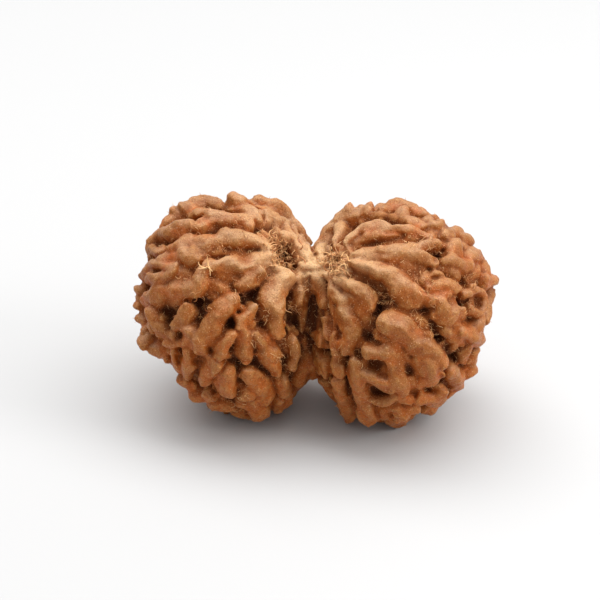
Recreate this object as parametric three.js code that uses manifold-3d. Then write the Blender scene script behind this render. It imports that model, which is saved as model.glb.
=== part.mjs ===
// A twin rudraksha seed: two deeply furrowed stones that grew together side by side.
// Millimetres, +Z up, the surface it rests on at z = 0, the joint between the stones at x = 0.

import * as THREE from 'three';
import { ConvexGeometry } from 'three/addons/geometries/ConvexGeometry.js';
import { mergeVertices } from 'three/addons/utils/BufferGeometryUtils.js';
import Module from 'manifold-3d';

// Driving dimensions

const jointHeight = 11.2;        // from the surface up to the middle of the joint
const furrowDepth = 1.9;         // from the outer form of a stone in to the floor of its furrows
const crestRound = 0.5;          // radius that rounds the edges of a ridge
const fillet = 0.2;              // how softly a ridge meets the floor and the next ridge
const ridgeLevel = 0.6 * furrowDepth;  // over the floor, where distances from a ridge are taken

// A flank is a flatter side: it lies over a point that is measured from the middle of the
// stone, and presses the stone in there by a share of its reach, over a breadth in radians.
// A share below 0 makes a fuller side.

const leftStone = {
  centre: new THREE.Vector3(-7.95, 0, jointHeight - 0.15),
  outerForm: new THREE.Vector3(9.35, 10.6, 11.5),
  tilt: THREE.MathUtils.degToRad(-15),
  taper: 0.05,
  stemPole: new THREE.Vector3(0.62, -0.35, 0.7),
  flanks: [
    { over: new THREE.Vector3(-6.9, -4.1, -6.1), depth: 0.12, breadth: 0.42 },
    { over: new THREE.Vector3(-8.7, 1.75, 4.3), depth: 0.05, breadth: 0.35 },
    { over: new THREE.Vector3(0, 5, 10.2), depth: 0.045, breadth: 0.45 },
  ],
};

const rightStone = {
  centre: new THREE.Vector3(8.3, 0, jointHeight - 0.2),
  outerForm: new THREE.Vector3(9.45, 10.7, 11.6),
  tilt: THREE.MathUtils.degToRad(13),
  taper: 0.06,
  stemPole: new THREE.Vector3(-0.66, -0.33, 0.68),
  flanks: [
    { over: new THREE.Vector3(4.5, 4.9, 7.8), depth: 0.11, breadth: 0.45 },
    { over: new THREE.Vector3(9, -1, -1.7), depth: 0.085, breadth: 0.3 },
  ],
};

const joint = {
  centre: new THREE.Vector3(0, 0, jointHeight),
  outerForm: new THREE.Vector3(6.6, 5.9, 7.6),
  tilt: 0,
  taper: 0,
  stemPole: new THREE.Vector3(1, 0, 0),
  flanks: [{ over: new THREE.Vector3(-0.6, -0.8, -7), depth: -0.13, breadth: 0.6 }],
};

// The ridges of the front are drawn as a viewer sees them, who stands in front, a little to
// the right and above. Each point of a ridge is [right, up, half width, height], measured
// from the middle of the joint; the height is over the furrow floor, and furrowDepth
// where none is given.

const viewerAzimuth = THREE.MathUtils.degToRad(5);
const viewerElevation = THREE.MathUtils.degToRad(30);
const viewerDistance = 250;
const sightStart = -16;          // along a sight line from the drawing, where its search starts
const sightStride = 0.05;
const sightSteps = 400;

leftStone.ridges = [
  // crown
  [[-11.7, 10.7, 0.40], [-10.5, 10.75, 0.42], [-9.5, 10.6, 0.45], [-8.6, 10.3, 0.45],
    [-7.2, 10.0, 0.45], [-6.2, 9.4, 0.45], [-5.5, 8.9, 0.40]],
  [[-7.7, 11.0, 0.80, 2.7], [-6.4, 10.6, 0.60], [-5.6, 10.9, 0.50], [-4.6, 10.5, 0.50],
    [-3.5, 10.0, 0.45], [-2.5, 9.6, 0.45], [-2.0, 9.1, 0.40], [-1.4, 8.4, 0.40],
    [-0.9, 7.5, 0.35], [-0.4, 6.7, 0.30]],
  [[-12.9, 10.3, 0.50], [-11.8, 10.0, 0.45], [-11.3, 9.5, 0.45]],
  [[-11.6, 8.2, 0.45], [-10.5, 8.9, 0.55], [-9.5, 9.1, 0.55], [-8.0, 9.0, 0.55],
    [-7.0, 8.9, 0.50], [-6.4, 8.4, 0.40]],
  [[-10.8, 9.6, 0.30], [-9.3, 9.6, 0.35]],
  [[-11.5, 6.9, 0.50], [-10.0, 7.1, 0.80], [-8.5, 7.2, 0.85], [-7.0, 7.3, 0.85],
    [-5.8, 7.0, 0.80], [-5.1, 6.4, 0.60]],
  [[-10.0, 4.3, 0.70], [-8.5, 4.4, 0.85], [-7.0, 4.5, 0.90], [-5.5, 4.8, 0.85],
    [-4.5, 5.1, 0.70]],
  // rim and strands of the stem pit
  [[-5.4, 7.5, 0.28, 1.7], [-4.7, 6.6, 0.28, 1.8], [-4.4, 5.5, 0.28, 1.8],
    [-4.1, 4.5, 0.28, 1.8], [-3.4, 3.9, 0.28, 1.8], [-2.5, 3.8, 0.28, 1.8]],
  [[-1.2, 5.2, 0.35], [-2.2, 7.0, 0.40], [-2.8, 8.6, 0.35], [-3.6, 9.0, 0.30]],
  [[-1.0, 5.6, 0.25], [-1.5, 7.4, 0.28], [-2.0, 8.6, 0.25]],
  [[-0.6, 5.5, 0.22], [-0.8, 6.6, 0.25], [-1.2, 7.9, 0.22]],
  // upper left
  [[-15.0, 8.4, 0.35], [-14.2, 8.9, 0.42], [-13.4, 9.5, 0.40]],
  [[-13.9, 9.9, 0.35]],
  [[-14.3, 7.6, 0.50], [-13.5, 8.1, 0.60], [-12.4, 8.2, 0.55]],
  [[-15.6, 7.3, 0.40], [-14.8, 7.5, 0.45]],
  [[-16.1, 6.7, 0.40], [-16.1, 5.8, 0.45], [-15.3, 5.8, 0.40]],
  [[-14.0, 6.4, 0.60], [-13.3, 6.7, 0.70], [-12.6, 6.9, 0.60]],
  [[-12.9, 5.3, 0.60], [-12.2, 5.0, 0.75], [-11.5, 5.9, 0.70], [-10.8, 6.5, 0.60]],
  [[-16.4, 5.1, 0.25]],
  [[-15.2, 5.1, 0.35], [-14.5, 5.3, 0.45], [-13.5, 5.1, 0.40]],
  [[-15.8, 4.6, 0.30], [-14.8, 4.5, 0.35], [-14.2, 4.2, 0.35]],
  [[-16.9, 3.3, 0.40], [-16.2, 4.1, 0.45], [-15.6, 4.4, 0.40]],
  [[-16.5, 2.9, 0.35], [-15.5, 3.1, 0.42], [-14.6, 3.4, 0.45], [-13.8, 3.9, 0.45]],
  // outer side
  [[-17.1, -0.8, 0.35], [-17.0, 0.2, 0.40], [-16.5, 1.0, 0.50], [-15.5, 1.6, 0.70],
    [-14.5, 1.9, 0.85], [-13.3, 2.0, 0.80], [-12.7, 2.0, 0.70]],
  [[-17.5, 1.9, 0.40]],
  [[-17.5, 1.1, 0.30]],
  [[-17.7, 0.2, 0.35]],
  [[-17.4, -1.2, 0.40], [-16.9, -1.6, 0.42]],
  [[-17.0, -3.3, 0.60]],
  [[-16.6, -1.9, 0.40], [-16.1, -2.7, 0.48], [-15.6, -3.4, 0.45]],
  [[-16.0, -0.4, 0.50], [-15.7, -1.0, 0.60], [-15.3, -1.7, 0.60]],
  [[-15.8, -4.1, 0.45], [-15.2, -4.6, 0.50], [-14.5, -4.9, 0.45]],
  [[-15.3, -2.5, 0.35], [-14.2, -2.5, 0.40]],
  [[-14.5, -3.4, 0.45], [-13.2, -3.5, 0.50], [-12.6, -3.0, 0.45]],
  [[-14.0, -4.4, 0.30], [-13.7, -5.1, 0.35], [-13.5, -5.9, 0.35]],
  // middle
  [[-11.7, 1.8, 0.55], [-11.4, 2.7, 0.60], [-11.0, 3.4, 0.55]],
  [[-13.8, -1.6, 0.45], [-13.1, -0.8, 0.55], [-12.6, -0.1, 0.50]],
  [[-13.0, -1.8, 0.40], [-12.3, -2.2, 0.45], [-11.2, -2.8, 0.40, 1.5]],
  [[-8.5, 0.8, 0.75], [-9.3, -0.1, 0.85], [-9.9, -1.2, 0.85], [-10.6, -2.4, 0.80],
    [-11.3, -3.7, 0.70]],
  [[-12.6, -4.4, 0.50], [-12.5, -5.3, 0.60], [-12.5, -6.3, 0.55]],
  [[-12.9, -7.4, 0.60], [-12.5, -7.6, 0.60]],
  [[-9.8, -5.5, 0.50], [-10.3, -6.2, 0.60], [-10.8, -7.1, 0.55]],
  [[-11.8, -8.6, 0.55], [-11.0, -8.7, 0.65], [-10.3, -8.7, 0.55]],
  [[-8.3, -2.7, 0.45], [-8.8, -3.5, 0.50], [-9.2, -4.2, 0.50]],
  [[-6.2, 0.0, 0.55], [-6.7, -0.7, 0.70], [-7.2, -1.4, 0.60]],
  [[-7.5, 2.6, 0.50], [-6.2, 3.0, 0.60], [-5.4, 3.5, 0.50]],
  // beside the joint
  [[-2.6, 3.2, 0.70], [-3.5, 2.2, 1.00], [-3.9, 1.0, 1.10], [-3.6, -0.3, 0.80],
    [-3.6, -2.1, 0.70]],
  [[-1.5, 3.2, 0.35], [-1.3, 2.0, 0.35], [-1.3, 0.8, 0.35]],
  [[-2.0, -3.2, 0.45], [-1.9, -4.2, 0.50], [-2.1, -5.5, 0.45]],
  // underside as seen from the front
  [[-4.8, -4.2, 0.65], [-4.2, -5.0, 0.75], [-3.7, -6.0, 0.55]],
  [[-6.9, -2.6, 0.50], [-6.8, -3.6, 0.60], [-6.9, -4.7, 0.55]],
  [[-5.6, -2.7, 0.40], [-5.2, -3.5, 0.40], [-5.0, -4.0, 0.40]],
  [[-6.6, -6.5, 0.70], [-5.7, -7.3, 0.85], [-4.8, -8.1, 0.80], [-4.8, -8.8, 0.80]],
  [[-8.7, -6.6, 0.60], [-8.7, -7.6, 0.70], [-8.6, -8.2, 0.60]],
  [[-7.0, -8.6, 0.70], [-6.5, -8.6, 0.60]],
  [[-7.2, -9.8, 0.40], [-6.6, -9.9, 0.40]],
  [[-5.8, -9.4, 0.60], [-5.3, -10.4, 0.80, 2.4]],
  [[-3.0, -7.2, 0.45], [-2.8, -8.2, 0.45]],
  [[-3.5, -9.1, 0.40], [-3.5, -10.0, 0.40]],
  [[-2.5, -8.8, 0.40, 2.1], [-2.7, -9.6, 0.40, 2.1]],
];

rightStone.ridges = [
  // crown
  [[0.4, 6.0, 0.35], [1.0, 7.2, 0.38], [1.7, 8.0, 0.38], [2.4, 8.7, 0.38],
    [3.0, 9.4, 0.40], [3.5, 10.1, 0.45]],
  [[5.5, 9.8, 0.55], [4.8, 10.0, 0.65], [4.7, 9.2, 0.50], [3.8, 8.8, 0.45],
    [3.1, 8.4, 0.42], [2.7, 7.6, 0.40], [2.3, 6.8, 0.35]],
  [[3.4, 6.7, 0.35], [4.0, 7.3, 0.42], [4.7, 7.9, 0.50], [5.6, 8.2, 0.58], [6.6, 8.3, 0.52],
    [7.6, 8.0, 0.42], [9.0, 8.0, 0.35], [10.2, 7.9, 0.33], [11.0, 7.6, 0.32], [11.6, 7.2, 0.32]],
  [[6.9, 9.9, 0.45], [8.0, 10.2, 0.60], [9.3, 10.3, 0.75], [10.4, 9.9, 0.75],
    [10.9, 9.5, 0.60]],
  [[8.9, 10.0, 0.50], [9.0, 9.3, 0.50], [9.7, 8.9, 0.50], [10.7, 8.5, 0.45]],
  [[12.0, 9.1, 0.50], [11.4, 8.9, 0.40]],
  [[12.9, 8.3, 0.55], [12.3, 8.2, 0.50], [11.9, 8.5, 0.40]],
  [[14.4, 7.6, 0.52], [13.7, 7.6, 0.52], [13.2, 7.3, 0.40]],
  [[15.5, 6.8, 0.52], [14.9, 6.9, 0.45]],
  [[14.1, 6.4, 0.50], [14.2, 5.7, 0.75], [13.9, 5.2, 0.60]],
  [[4.3, 5.4, 0.50], [5.2, 5.5, 0.60], [6.2, 5.6, 0.68], [7.5, 5.7, 0.80], [8.8, 5.8, 1.00],
    [9.9, 5.6, 0.95], [10.9, 5.2, 0.65], [12.0, 4.6, 0.42]],
  [[9.9, 6.1, 0.60], [11.2, 6.4, 0.42], [12.4, 6.5, 0.35]],
  [[3.7, 4.7, 0.35], [4.6, 4.5, 0.40], [5.7, 4.2, 0.52], [6.8, 3.7, 0.75], [8.2, 3.0, 0.95],
    [9.4, 1.9, 1.00], [10.4, 1.2, 0.80], [11.6, 0.9, 0.45]],
  // rim and strands of the stem pit
  [[3.4, 6.4, 0.28, 1.7], [3.8, 5.6, 0.28, 1.8], [3.7, 4.7, 0.28, 1.8],
    [3.3, 3.7, 0.28, 1.8], [2.5, 3.2, 0.28, 1.8], [1.5, 3.2, 0.28, 1.8]],
  [[0.9, 5.7, 0.40], [1.4, 6.4, 0.60], [2.0, 7.1, 0.50]],
  [[0.5, 4.6, 0.30], [1.2, 5.0, 0.32], [2.0, 5.3, 0.35], [2.9, 5.4, 0.35]],
  [[0.6, 4.1, 0.28], [1.4, 4.4, 0.25], [1.9, 4.7, 0.25]],
  [[3.0, 5.0, 0.28], [3.0, 4.4, 0.25], [2.7, 3.9, 0.28], [1.9, 3.5, 0.28], [1.0, 3.6, 0.28]],
  [[2.4, 6.2, 0.30, 1.6], [3.0, 6.0, 0.30, 1.5], [3.5, 5.6, 0.30, 1.6]],
  // beside the joint
  [[0.5, 3.0, 0.40], [0.6, 1.6, 0.50], [0.7, 0.6, 0.42]],
  [[1.7, 3.1, 0.40], [1.7, 2.0, 0.38], [2.4, 1.2, 0.42], [3.1, 0.5, 0.50], [3.0, -0.4, 0.85],
    [3.1, -1.3, 1.05], [3.6, -2.3, 0.75], [3.5, -3.3, 0.58], [3.3, -4.1, 0.42]],
  [[2.4, 3.0, 0.35], [3.4, 2.5, 0.42], [4.4, 2.0, 0.48], [5.2, 1.3, 0.70], [5.4, 0.5, 0.55]],
  [[1.1, -1.2, 0.26, 1.5], [1.3, -2.0, 0.28, 1.5], [1.6, -2.8, 0.30, 1.5]],
  [[2.3, -3.0, 0.48], [2.2, -3.5, 0.45]],
  [[2.3, -4.5, 0.45], [2.2, -5.3, 0.58], [2.7, -6.1, 0.52]],
  // middle
  [[7.4, -1.3, 1.10], [8.7, -1.8, 1.10], [9.9, -2.9, 1.10], [11.1, -4.0, 1.10],
    [12.3, -4.9, 1.05]],
  [[11.2, -5.6, 0.85], [11.4, -6.6, 0.75], [10.9, -7.4, 0.55]],
  [[5.6, -4.2, 0.55], [6.8, -4.2, 0.62], [7.8, -4.7, 0.62], [8.2, -5.7, 0.62],
    [8.4, -6.8, 0.68], [8.8, -8.0, 0.60]],
  [[8.2, -3.5, 0.55, 1.6], [7.5, -4.0, 0.50, 1.6]],
  [[5.0, -0.3, 0.65, 1.2], [5.3, -1.6, 0.50, 1.0]],
  [[6.3, -2.3, 0.45, 1.2], [6.9, -3.2, 0.42, 1.2]],
  // outer side
  [[16.4, 5.3, 0.58], [15.5, 5.3, 0.50]],
  [[17.0, 4.5, 0.45], [17.1, 3.7, 0.48]],
  [[17.7, 2.8, 0.50], [17.0, 2.7, 0.50]],
  [[13.2, 4.7, 0.45], [14.4, 4.5, 0.48], [15.6, 4.4, 0.45]],
  [[11.4, 3.4, 0.28, 1.5], [12.0, 3.5, 0.28, 1.5], [12.8, 3.2, 0.25, 1.5]],
  [[11.8, 2.4, 0.45], [13.0, 2.4, 0.50], [14.2, 2.2, 0.48]],
  [[12.4, 1.3, 0.42, 1.7], [13.2, 1.4, 0.40, 1.7]],
  [[12.8, 0.4, 0.55], [13.2, -0.5, 0.85], [14.3, -0.4, 0.80]],
  [[13.3, -1.9, 0.65, 1.5], [13.7, -2.6, 0.50, 1.3]],
  [[15.2, 1.7, 0.36], [16.2, 1.9, 0.38], [16.9, 1.4, 0.35], [17.0, 0.5, 0.35],
    [16.7, -0.3, 0.38], [15.7, 0.0, 0.34]],
  [[15.9, 2.4, 0.35]],
  [[17.6, 1.0, 0.38]],
  [[16.7, -0.9, 0.35], [16.4, -1.6, 0.38]],
  [[14.9, -2.4, 0.55], [15.8, -2.6, 0.60], [16.5, -2.9, 0.58]],
  [[15.4, -3.8, 0.60, 1.6], [15.1, -4.8, 0.55, 1.6]],
  [[16.0, -4.5, 0.50], [15.7, -5.4, 0.55]],
  [[15.5, -6.4, 0.65]],
  // lower right
  [[13.7, -6.1, 0.60], [14.3, -7.0, 0.68], [14.2, -8.0, 0.70], [13.6, -8.5, 0.50]],
  [[12.9, -9.0, 0.52], [11.8, -8.9, 0.62], [10.8, -8.9, 0.65]],
  [[12.6, -6.5, 0.28], [12.0, -7.2, 0.30], [11.6, -7.6, 0.30]],
  [[9.6, -7.0, 0.40, 1.7], [9.9, -7.6, 0.35, 1.7]],
  [[9.4, -9.2, 0.42], [8.9, -8.9, 0.50]],
  [[8.4, -10.0, 0.50], [8.8, -10.5, 0.60, 2.2]],
  // underside as seen from the front
  [[4.3, -5.5, 0.62], [4.4, -6.8, 0.78], [4.7, -8.2, 0.72], [4.9, -9.6, 0.70, 2.2],
    [5.4, -11.3, 0.85, 2.9]],
  [[4.9, -6.4, 0.50], [5.9, -6.8, 0.48], [6.9, -7.3, 0.42], [7.8, -7.8, 0.45]],
  [[8.7, -8.8, 0.42], [7.9, -9.1, 0.45], [7.0, -9.4, 0.42], [6.2, -9.2, 0.40]],
  [[2.5, -7.3, 0.50], [2.8, -8.6, 0.55], [3.1, -9.8, 0.68, 2.1], [3.2, -10.8, 0.72, 2.4]],
  [[6.8, -10.4, 0.55], [7.0, -10.7, 0.50]],
];

joint.ridges = [
  // the knot where the crests of both stones meet
  [[-0.75, 4.25, 0.36, 1.7], [-0.3, 4.4, 0.42, 1.8], [0.15, 4.25, 0.36, 1.7]],
  // strips from the knot up beside the notch
  [[-0.5, 4.7, 0.28, 1.6], [-0.9, 5.4, 0.28, 1.5], [-1.3, 6.1, 0.28, 1.4], [-1.7, 6.8, 0.26, 1.3]],
  [[-0.3, 4.8, 0.22, 1.4], [-0.5, 5.6, 0.22, 1.4], [-0.7, 6.4, 0.22, 1.3]],
  [[0.2, 4.8, 0.24, 1.5], [0.7, 5.5, 0.42, 1.5], [1.1, 6.2, 0.50, 1.5]],
  // strips from the knot down into the groove
  [[-1.0, 4.1, 0.30, 1.5], [-1.5, 3.4, 0.32, 1.5], [-1.6, 2.2, 0.34, 1.4], [-1.4, 0.9, 0.34, 1.3]],
  [[-0.7, 3.9, 0.24, 1.4], [-0.8, 3.0, 0.25, 1.3], [-0.8, 1.9, 0.25, 1.2], [-0.7, 0.9, 0.22, 1.0]],
  [[-0.25, 3.9, 0.22, 1.2], [-0.25, 3.0, 0.22, 1.0]],
  [[0.2, 3.9, 0.28, 1.4], [0.5, 2.9, 0.40, 1.5], [0.75, 1.7, 0.42, 1.4], [0.95, 0.6, 0.30, 1.2]],
  [[0.5, 4.1, 0.28, 1.5], [1.3, 3.5, 0.34, 1.5], [1.8, 2.5, 0.36, 1.5], [2.2, 1.5, 0.34, 1.4]],
  // strips along the groove
  [[-0.9, -0.3, 0.34, 1.0], [-1.0, -1.9, 0.34, 0.9]],
  [[0.9, -0.5, 0.32, 1.1], [1.1, -2.0, 0.32, 1.1], [1.4, -3.6, 0.36, 1.2], [1.4, -5.2, 0.36, 1.2]],
  [[-0.5, -3.2, 0.38, 1.0], [-0.2, -4.6, 0.38, 0.9], [-0.4, -6.2, 0.42, 1.0]],
];

// The low ridge that each stone rests on, as [x, y] under it, worn flat by wearDepth

const wearDepth = 0.35;
const restHalfWidth = 0.8;
leftStone.restRidge = [[-8.4, -1.9], [-7.9, -0.3], [-8.2, 1.5]];
rightStone.restRidge = [[8.7, -2.0], [8.2, -0.1], [8.6, 1.7]];
joint.restRidge = [];

// Ridges of the sides that the viewer doesn't see grow by a rule, from a seeded draw.

const hiddenRidges = {
  seed: 41,
  sizes: [                    // points of a ridge, and how many draws try for that length
    { points: 8, tries: 400 },
    { points: 5, tries: 500 },
    { points: 3, tries: 700 },
    { points: 1, tries: 900 },
  ],
  shortest: 0.6,              // share of its points that a ridge must reach to be kept
  facingLimit: 0.5,           // they grow where the outward direction turns this far away
  step: 1.05,                 // between the points of a ridge
  halfWidth: [0.5, 0.85],
  height: [0.84, 1.06],       // as a share of the stone's ridge height
  swell: [0.85, 1.15],        // shares of the half width that its points have
  gap: 0.4,                   // floor left open between two ridges
  wander: 0.4,                // most that a ridge turns at a point, in radians
  slant: 0.5,                 // most that a ridge leans off its meridian, in radians
  branchShare: 0.3,           // of the draws, which start on a ridge and leave it sideways
  branchSlant: 1.0,           // at which they leave, in radians
  clearance: 0.25,            // left between a crest and the surface that the seed rests on
};
leftStone.ridgeHeight = furrowDepth;
rightStone.ridgeHeight = furrowDepth;
joint.ridgeHeight = 1.1;

// Meshing

const rowSpacing = 0.78;      // between vertices along a ridge
const topInset = 0.2;         // from a ridge's side in to the vertices on its top
const footOffsets = [0.32, 0.22, 0.14];  // from a ridge's side out to the furrow's vertices
const topApart = 0.38;        // least distance between two vertices on ridge tops
const footApart = 0.42;       // least distance between two vertices in the furrows
const floorApart = 1.0;       // distance over which bare floor gets a vertex of its own
const floorTries = 900;
const clearShare = 0.7;       // of its offset, which a furrow vertex keeps from every other ridge
const singleRow = new THREE.Vector3(0.3, 0.2, 1);  // along which a ridge of one point is meshed
const stoneWeld = 1e-5;       // vertices nearer than this are one
const directionWeld = 1e-6;

// View of the front drawing

const viewBack = new THREE.Vector3(
  Math.sin(viewerAzimuth) * Math.cos(viewerElevation),
  -Math.cos(viewerAzimuth) * Math.cos(viewerElevation),
  Math.sin(viewerElevation),
);
const viewRight = new THREE.Vector3(0, 0, 1).cross(viewBack).normalize();
const viewUp = viewBack.clone().cross(viewRight);
const viewerEye = joint.centre.clone().addScaledVector(viewBack, viewerDistance);

// The floor of a stone's furrows is a tilted, tapered ellipsoid with pressed-in flanks. A
// place on or over it is given by an outward direction and a height.

function addFloor(stone) {
  const depth = new THREE.Vector3(furrowDepth, furrowDepth, furrowDepth);
  stone.floor = stone.outerForm.clone().sub(depth);
  stone.turn = new THREE.Matrix4().makeRotationY(stone.tilt);
  stone.turnBack = stone.turn.clone().invert();
  stone.flanks.forEach((flank) => {
    flank.middle = flank.over.clone().applyMatrix4(stone.turnBack).divide(stone.floor).normalize();
  });
}

function pressedIn(stone, direction) {
  return stone.flanks.reduce((left, { middle, depth, breadth }) => (
    left - depth * Math.exp(-direction.distanceToSquared(middle) / breadth ** 2)), 1);
}

function place(stone, direction, height) {
  const { floor, taper } = stone;
  const overFloor = 1 + height * direction.clone().divide(floor).length();
  const reach = overFloor * pressedIn(stone, direction);
  const widen = 1 + taper * reach * direction.z;
  return new THREE.Vector3(
    floor.x * reach * direction.x * widen,
    floor.y * reach * direction.y * widen,
    floor.z * reach * direction.z,
  ).applyMatrix4(stone.turn).add(stone.centre);
}

function locate(stone, point) {
  const { floor, taper } = stone;
  const local = point.clone().sub(stone.centre).applyMatrix4(stone.turnBack).divide(floor);
  const widen = 1 + taper * local.z;
  local.x /= widen;
  local.y /= widen;
  const direction = local.clone().normalize();
  const overFloor = local.length() / pressedIn(stone, direction);
  return { direction, height: (overFloor - 1) / direction.clone().divide(floor).length() };
}

// A point of the drawing is carried along its sight line to the height of the ridge's crest,
// or, where the line passes the stone, to its nearest place, with the crest raised to it.

function carryToStone(stone, [right, up, halfWidth, height = furrowDepth]) {
  const level = height - Math.min(halfWidth, crestRound);
  const target = joint.centre.clone().addScaledVector(viewRight, right).addScaledVector(viewUp, up);
  const line = target.clone().sub(viewerEye).normalize();
  let nearest = null;
  for (let i = 0; i < sightSteps; i += 1) {
    const along = sightStart + i * sightStride;
    const found = locate(stone, target.clone().addScaledVector(line, along));
    if (!nearest || found.height < nearest.height) nearest = found;
    if (found.height <= level) return ridgePoint(stone, found.direction, halfWidth, height);
  }
  const raised = nearest.height + Math.min(halfWidth, crestRound);
  return ridgePoint(stone, nearest.direction, halfWidth, raised);
}

function ridgePoint(stone, direction, halfWidth, height) {
  return { at: place(stone, direction, ridgeLevel), direction, halfWidth, height };
}

// Distance from a point on a stone to a ridge, with the ridge's width and height there

const segment = new THREE.Line3();
const closest = new THREE.Vector3();

function nearestOnRidge(ridge, at) {
  let best = { distance: Infinity };
  const last = Math.max(ridge.length - 1, 1);
  for (let i = 0; i < last; i += 1) {
    const from = ridge[i];
    const to = ridge[Math.min(i + 1, ridge.length - 1)];
    segment.set(from.at, to.at);
    const along = from === to ? 0 : segment.closestPointToPointParameter(at, true);
    const distance = closest.lerpVectors(from.at, to.at, along).distanceTo(at);
    const halfWidth = THREE.MathUtils.lerp(from.halfWidth, to.halfWidth, along);
    if (distance - halfWidth < best.distance - best.halfWidth || best.distance === Infinity) {
      best = { distance, halfWidth, height: THREE.MathUtils.lerp(from.height, to.height, along) };
    }
  }
  return best;
}

// Growth of the hidden ridges: each starts on bare floor or on the side of a ridge, runs
// along a meridian of the stem pole with a slant and a wander, and stops short of its
// neighbours.

let drawState = hiddenRidges.seed;

function draw(low = 0, high = 1) {
  drawState = (drawState * 16807) % 2147483647;
  return low + (high - low) * (drawState / 2147483647);
}

function clearOfRidges(stone, at, halfWidth, parent) {
  return stone.crests.every((ridge) => {
    if (ridge === parent) return true;
    const near = nearestOnRidge(ridge, at);
    return near.distance > near.halfWidth + halfWidth + hiddenRidges.gap;
  });
}

// The most that a crest may stand over the floor in a direction, so as to clear the surface

function mostHeight(stone, direction) {
  const floorLevel = place(stone, direction, 0).z;
  const fall = floorLevel - place(stone, direction, 1).z;
  return fall > 0 ? (floorLevel - hiddenRidges.clearance) / fall : Infinity;
}

function growRidge(stone, points) {
  const azimuth = draw(0, 2 * Math.PI);
  const rise = draw(-1, 1);
  const ring = Math.sqrt(1 - rise * rise);
  const halfWidth = draw(...hiddenRidges.halfWidth);
  const height = draw(...hiddenRidges.height) * stone.ridgeHeight;
  const sense = draw() < 0.5 ? -1 : 1;
  const branches = draw() < hiddenRidges.branchShare;
  const stem = Math.floor(draw() * stone.crests.length);
  const joinAt = draw();
  let slant = draw(-hiddenRidges.slant, hiddenRidges.slant);
  const turns = Array.from({ length: points }, () => draw(-hiddenRidges.wander, hiddenRidges.wander));
  const swells = Array.from({ length: points }, () => draw(...hiddenRidges.swell));
  let direction = new THREE.Vector3(ring * Math.cos(azimuth), ring * Math.sin(azimuth), rise);
  const crest = [];
  const parent = branches ? stone.crests[stem] : null;
  if (parent) {
    const join = parent[Math.floor(joinAt * parent.length)];
    direction = join.direction.clone();
    slant += (slant < 0 ? -1 : 1) * hiddenRidges.branchSlant;
  }
  for (let i = 0; i < points + (parent ? 1 : 0); i += 1) {
    const width = halfWidth * swells[i % points];
    const lowered = Math.min(height, mostHeight(stone, direction));
    const point = ridgePoint(stone, direction, width, lowered);
    const outward = direction.clone().transformDirection(stone.turn);
    if (outward.dot(viewBack) > hiddenRidges.facingLimit) break;
    const joined = parent && i < 2 ? parent : null;
    if (!(parent && i === 0) && !clearOfRidges(stone, point.at, width, joined)) break;
    crest.push(point);
    const meridian = stone.pole.clone().projectOnPlane(direction).normalize();
    slant += turns[i % points];
    meridian.applyAxisAngle(direction, slant).multiplyScalar(sense);
    direction = direction.clone()
      .addScaledVector(meridian, hiddenRidges.step / stone.floor.y).normalize();
  }
  if (crest.length >= Math.max(points * hiddenRidges.shortest, parent ? 2 : 1)) {
    stone.crests.push(crest);
  }
}

function addCrests(stone) {
  stone.pole = stone.stemPole.clone().normalize().transformDirection(stone.turnBack);
  stone.crests = stone.ridges.map((ridge) => ridge.map((point) => carryToStone(stone, point)));
  if (stone.restRidge.length > 0) stone.crests.push(stone.restRidge.map(([x, y]) => {
    const { direction, height } = locate(stone, new THREE.Vector3(x, y, 0));
    return ridgePoint(stone, direction, restHalfWidth, height + wearDepth);
  }));
  for (const { points, tries } of hiddenRidges.sizes) {
    for (let i = 0; i < tries; i += 1) growRidge(stone, points);
  }
}

// Height of the surface over the furrow floor in a direction. A ridge's section has upright
// sides and a rounded top; the floor and all ridges are joined by a soft minimum of their
// distances, and the surface is where that distance is zero.

const ridgeReach = 1.6;          // beyond its side, where a ridge no longer counts
const lowestHeight = -1;
const highestHeight = 4;
const halvings = 22;

function surfaceHeight(stone, direction) {
  const at = place(stone, direction, ridgeLevel);
  const near = stone.crests.map((ridge) => nearestOnRidge(ridge, at))
    .filter((ridge) => ridge.distance < ridge.halfWidth + ridgeReach);
  let low = lowestHeight;
  let high = highestHeight;
  for (let i = 0; i < halvings; i += 1) {
    const middle = (low + high) / 2;
    let sum = Math.exp(-middle / fillet);
    for (const { distance, halfWidth, height } of near) {
      const round = Math.min(halfWidth, crestRound);
      const aside = Math.max(distance - (halfWidth - round), 0);
      const over = Math.max(middle - (height - round), 0);
      sum += Math.exp(-(Math.hypot(aside, over) - round) / fillet);
    }
    if (sum > 1) low = middle;
    else high = middle;
  }
  return high;
}

// Vertices of a stone, as outward directions: rows along the top of each ridge, rows in the
// furrows beside it, and a few on bare floor. The hull of the directions joins them.

function ridgeRows(ridge) {
  const rows = [];
  for (let i = 0; i < Math.max(ridge.length - 1, 1); i += 1) {
    const from = ridge[i];
    const to = ridge[Math.min(i + 1, ridge.length - 1)];
    const count = Math.max(Math.round(from.at.distanceTo(to.at) / rowSpacing), 1);
    const along = to.at.clone().sub(from.at);
    if (along.lengthSq() === 0) along.copy(singleRow).projectOnPlane(from.direction);
    along.normalize();
    const atEnd = i === Math.max(ridge.length - 2, 0);
    for (let k = 0; k < count + (atEnd && from !== to ? 1 : 0); k += 1) {
      const share = k / count;
      rows.push({
        at: from.at.clone().lerp(to.at, share),
        along,
        halfWidth: THREE.MathUtils.lerp(from.halfWidth, to.halfWidth, share),
      });
    }
  }
  return rows;
}

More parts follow.
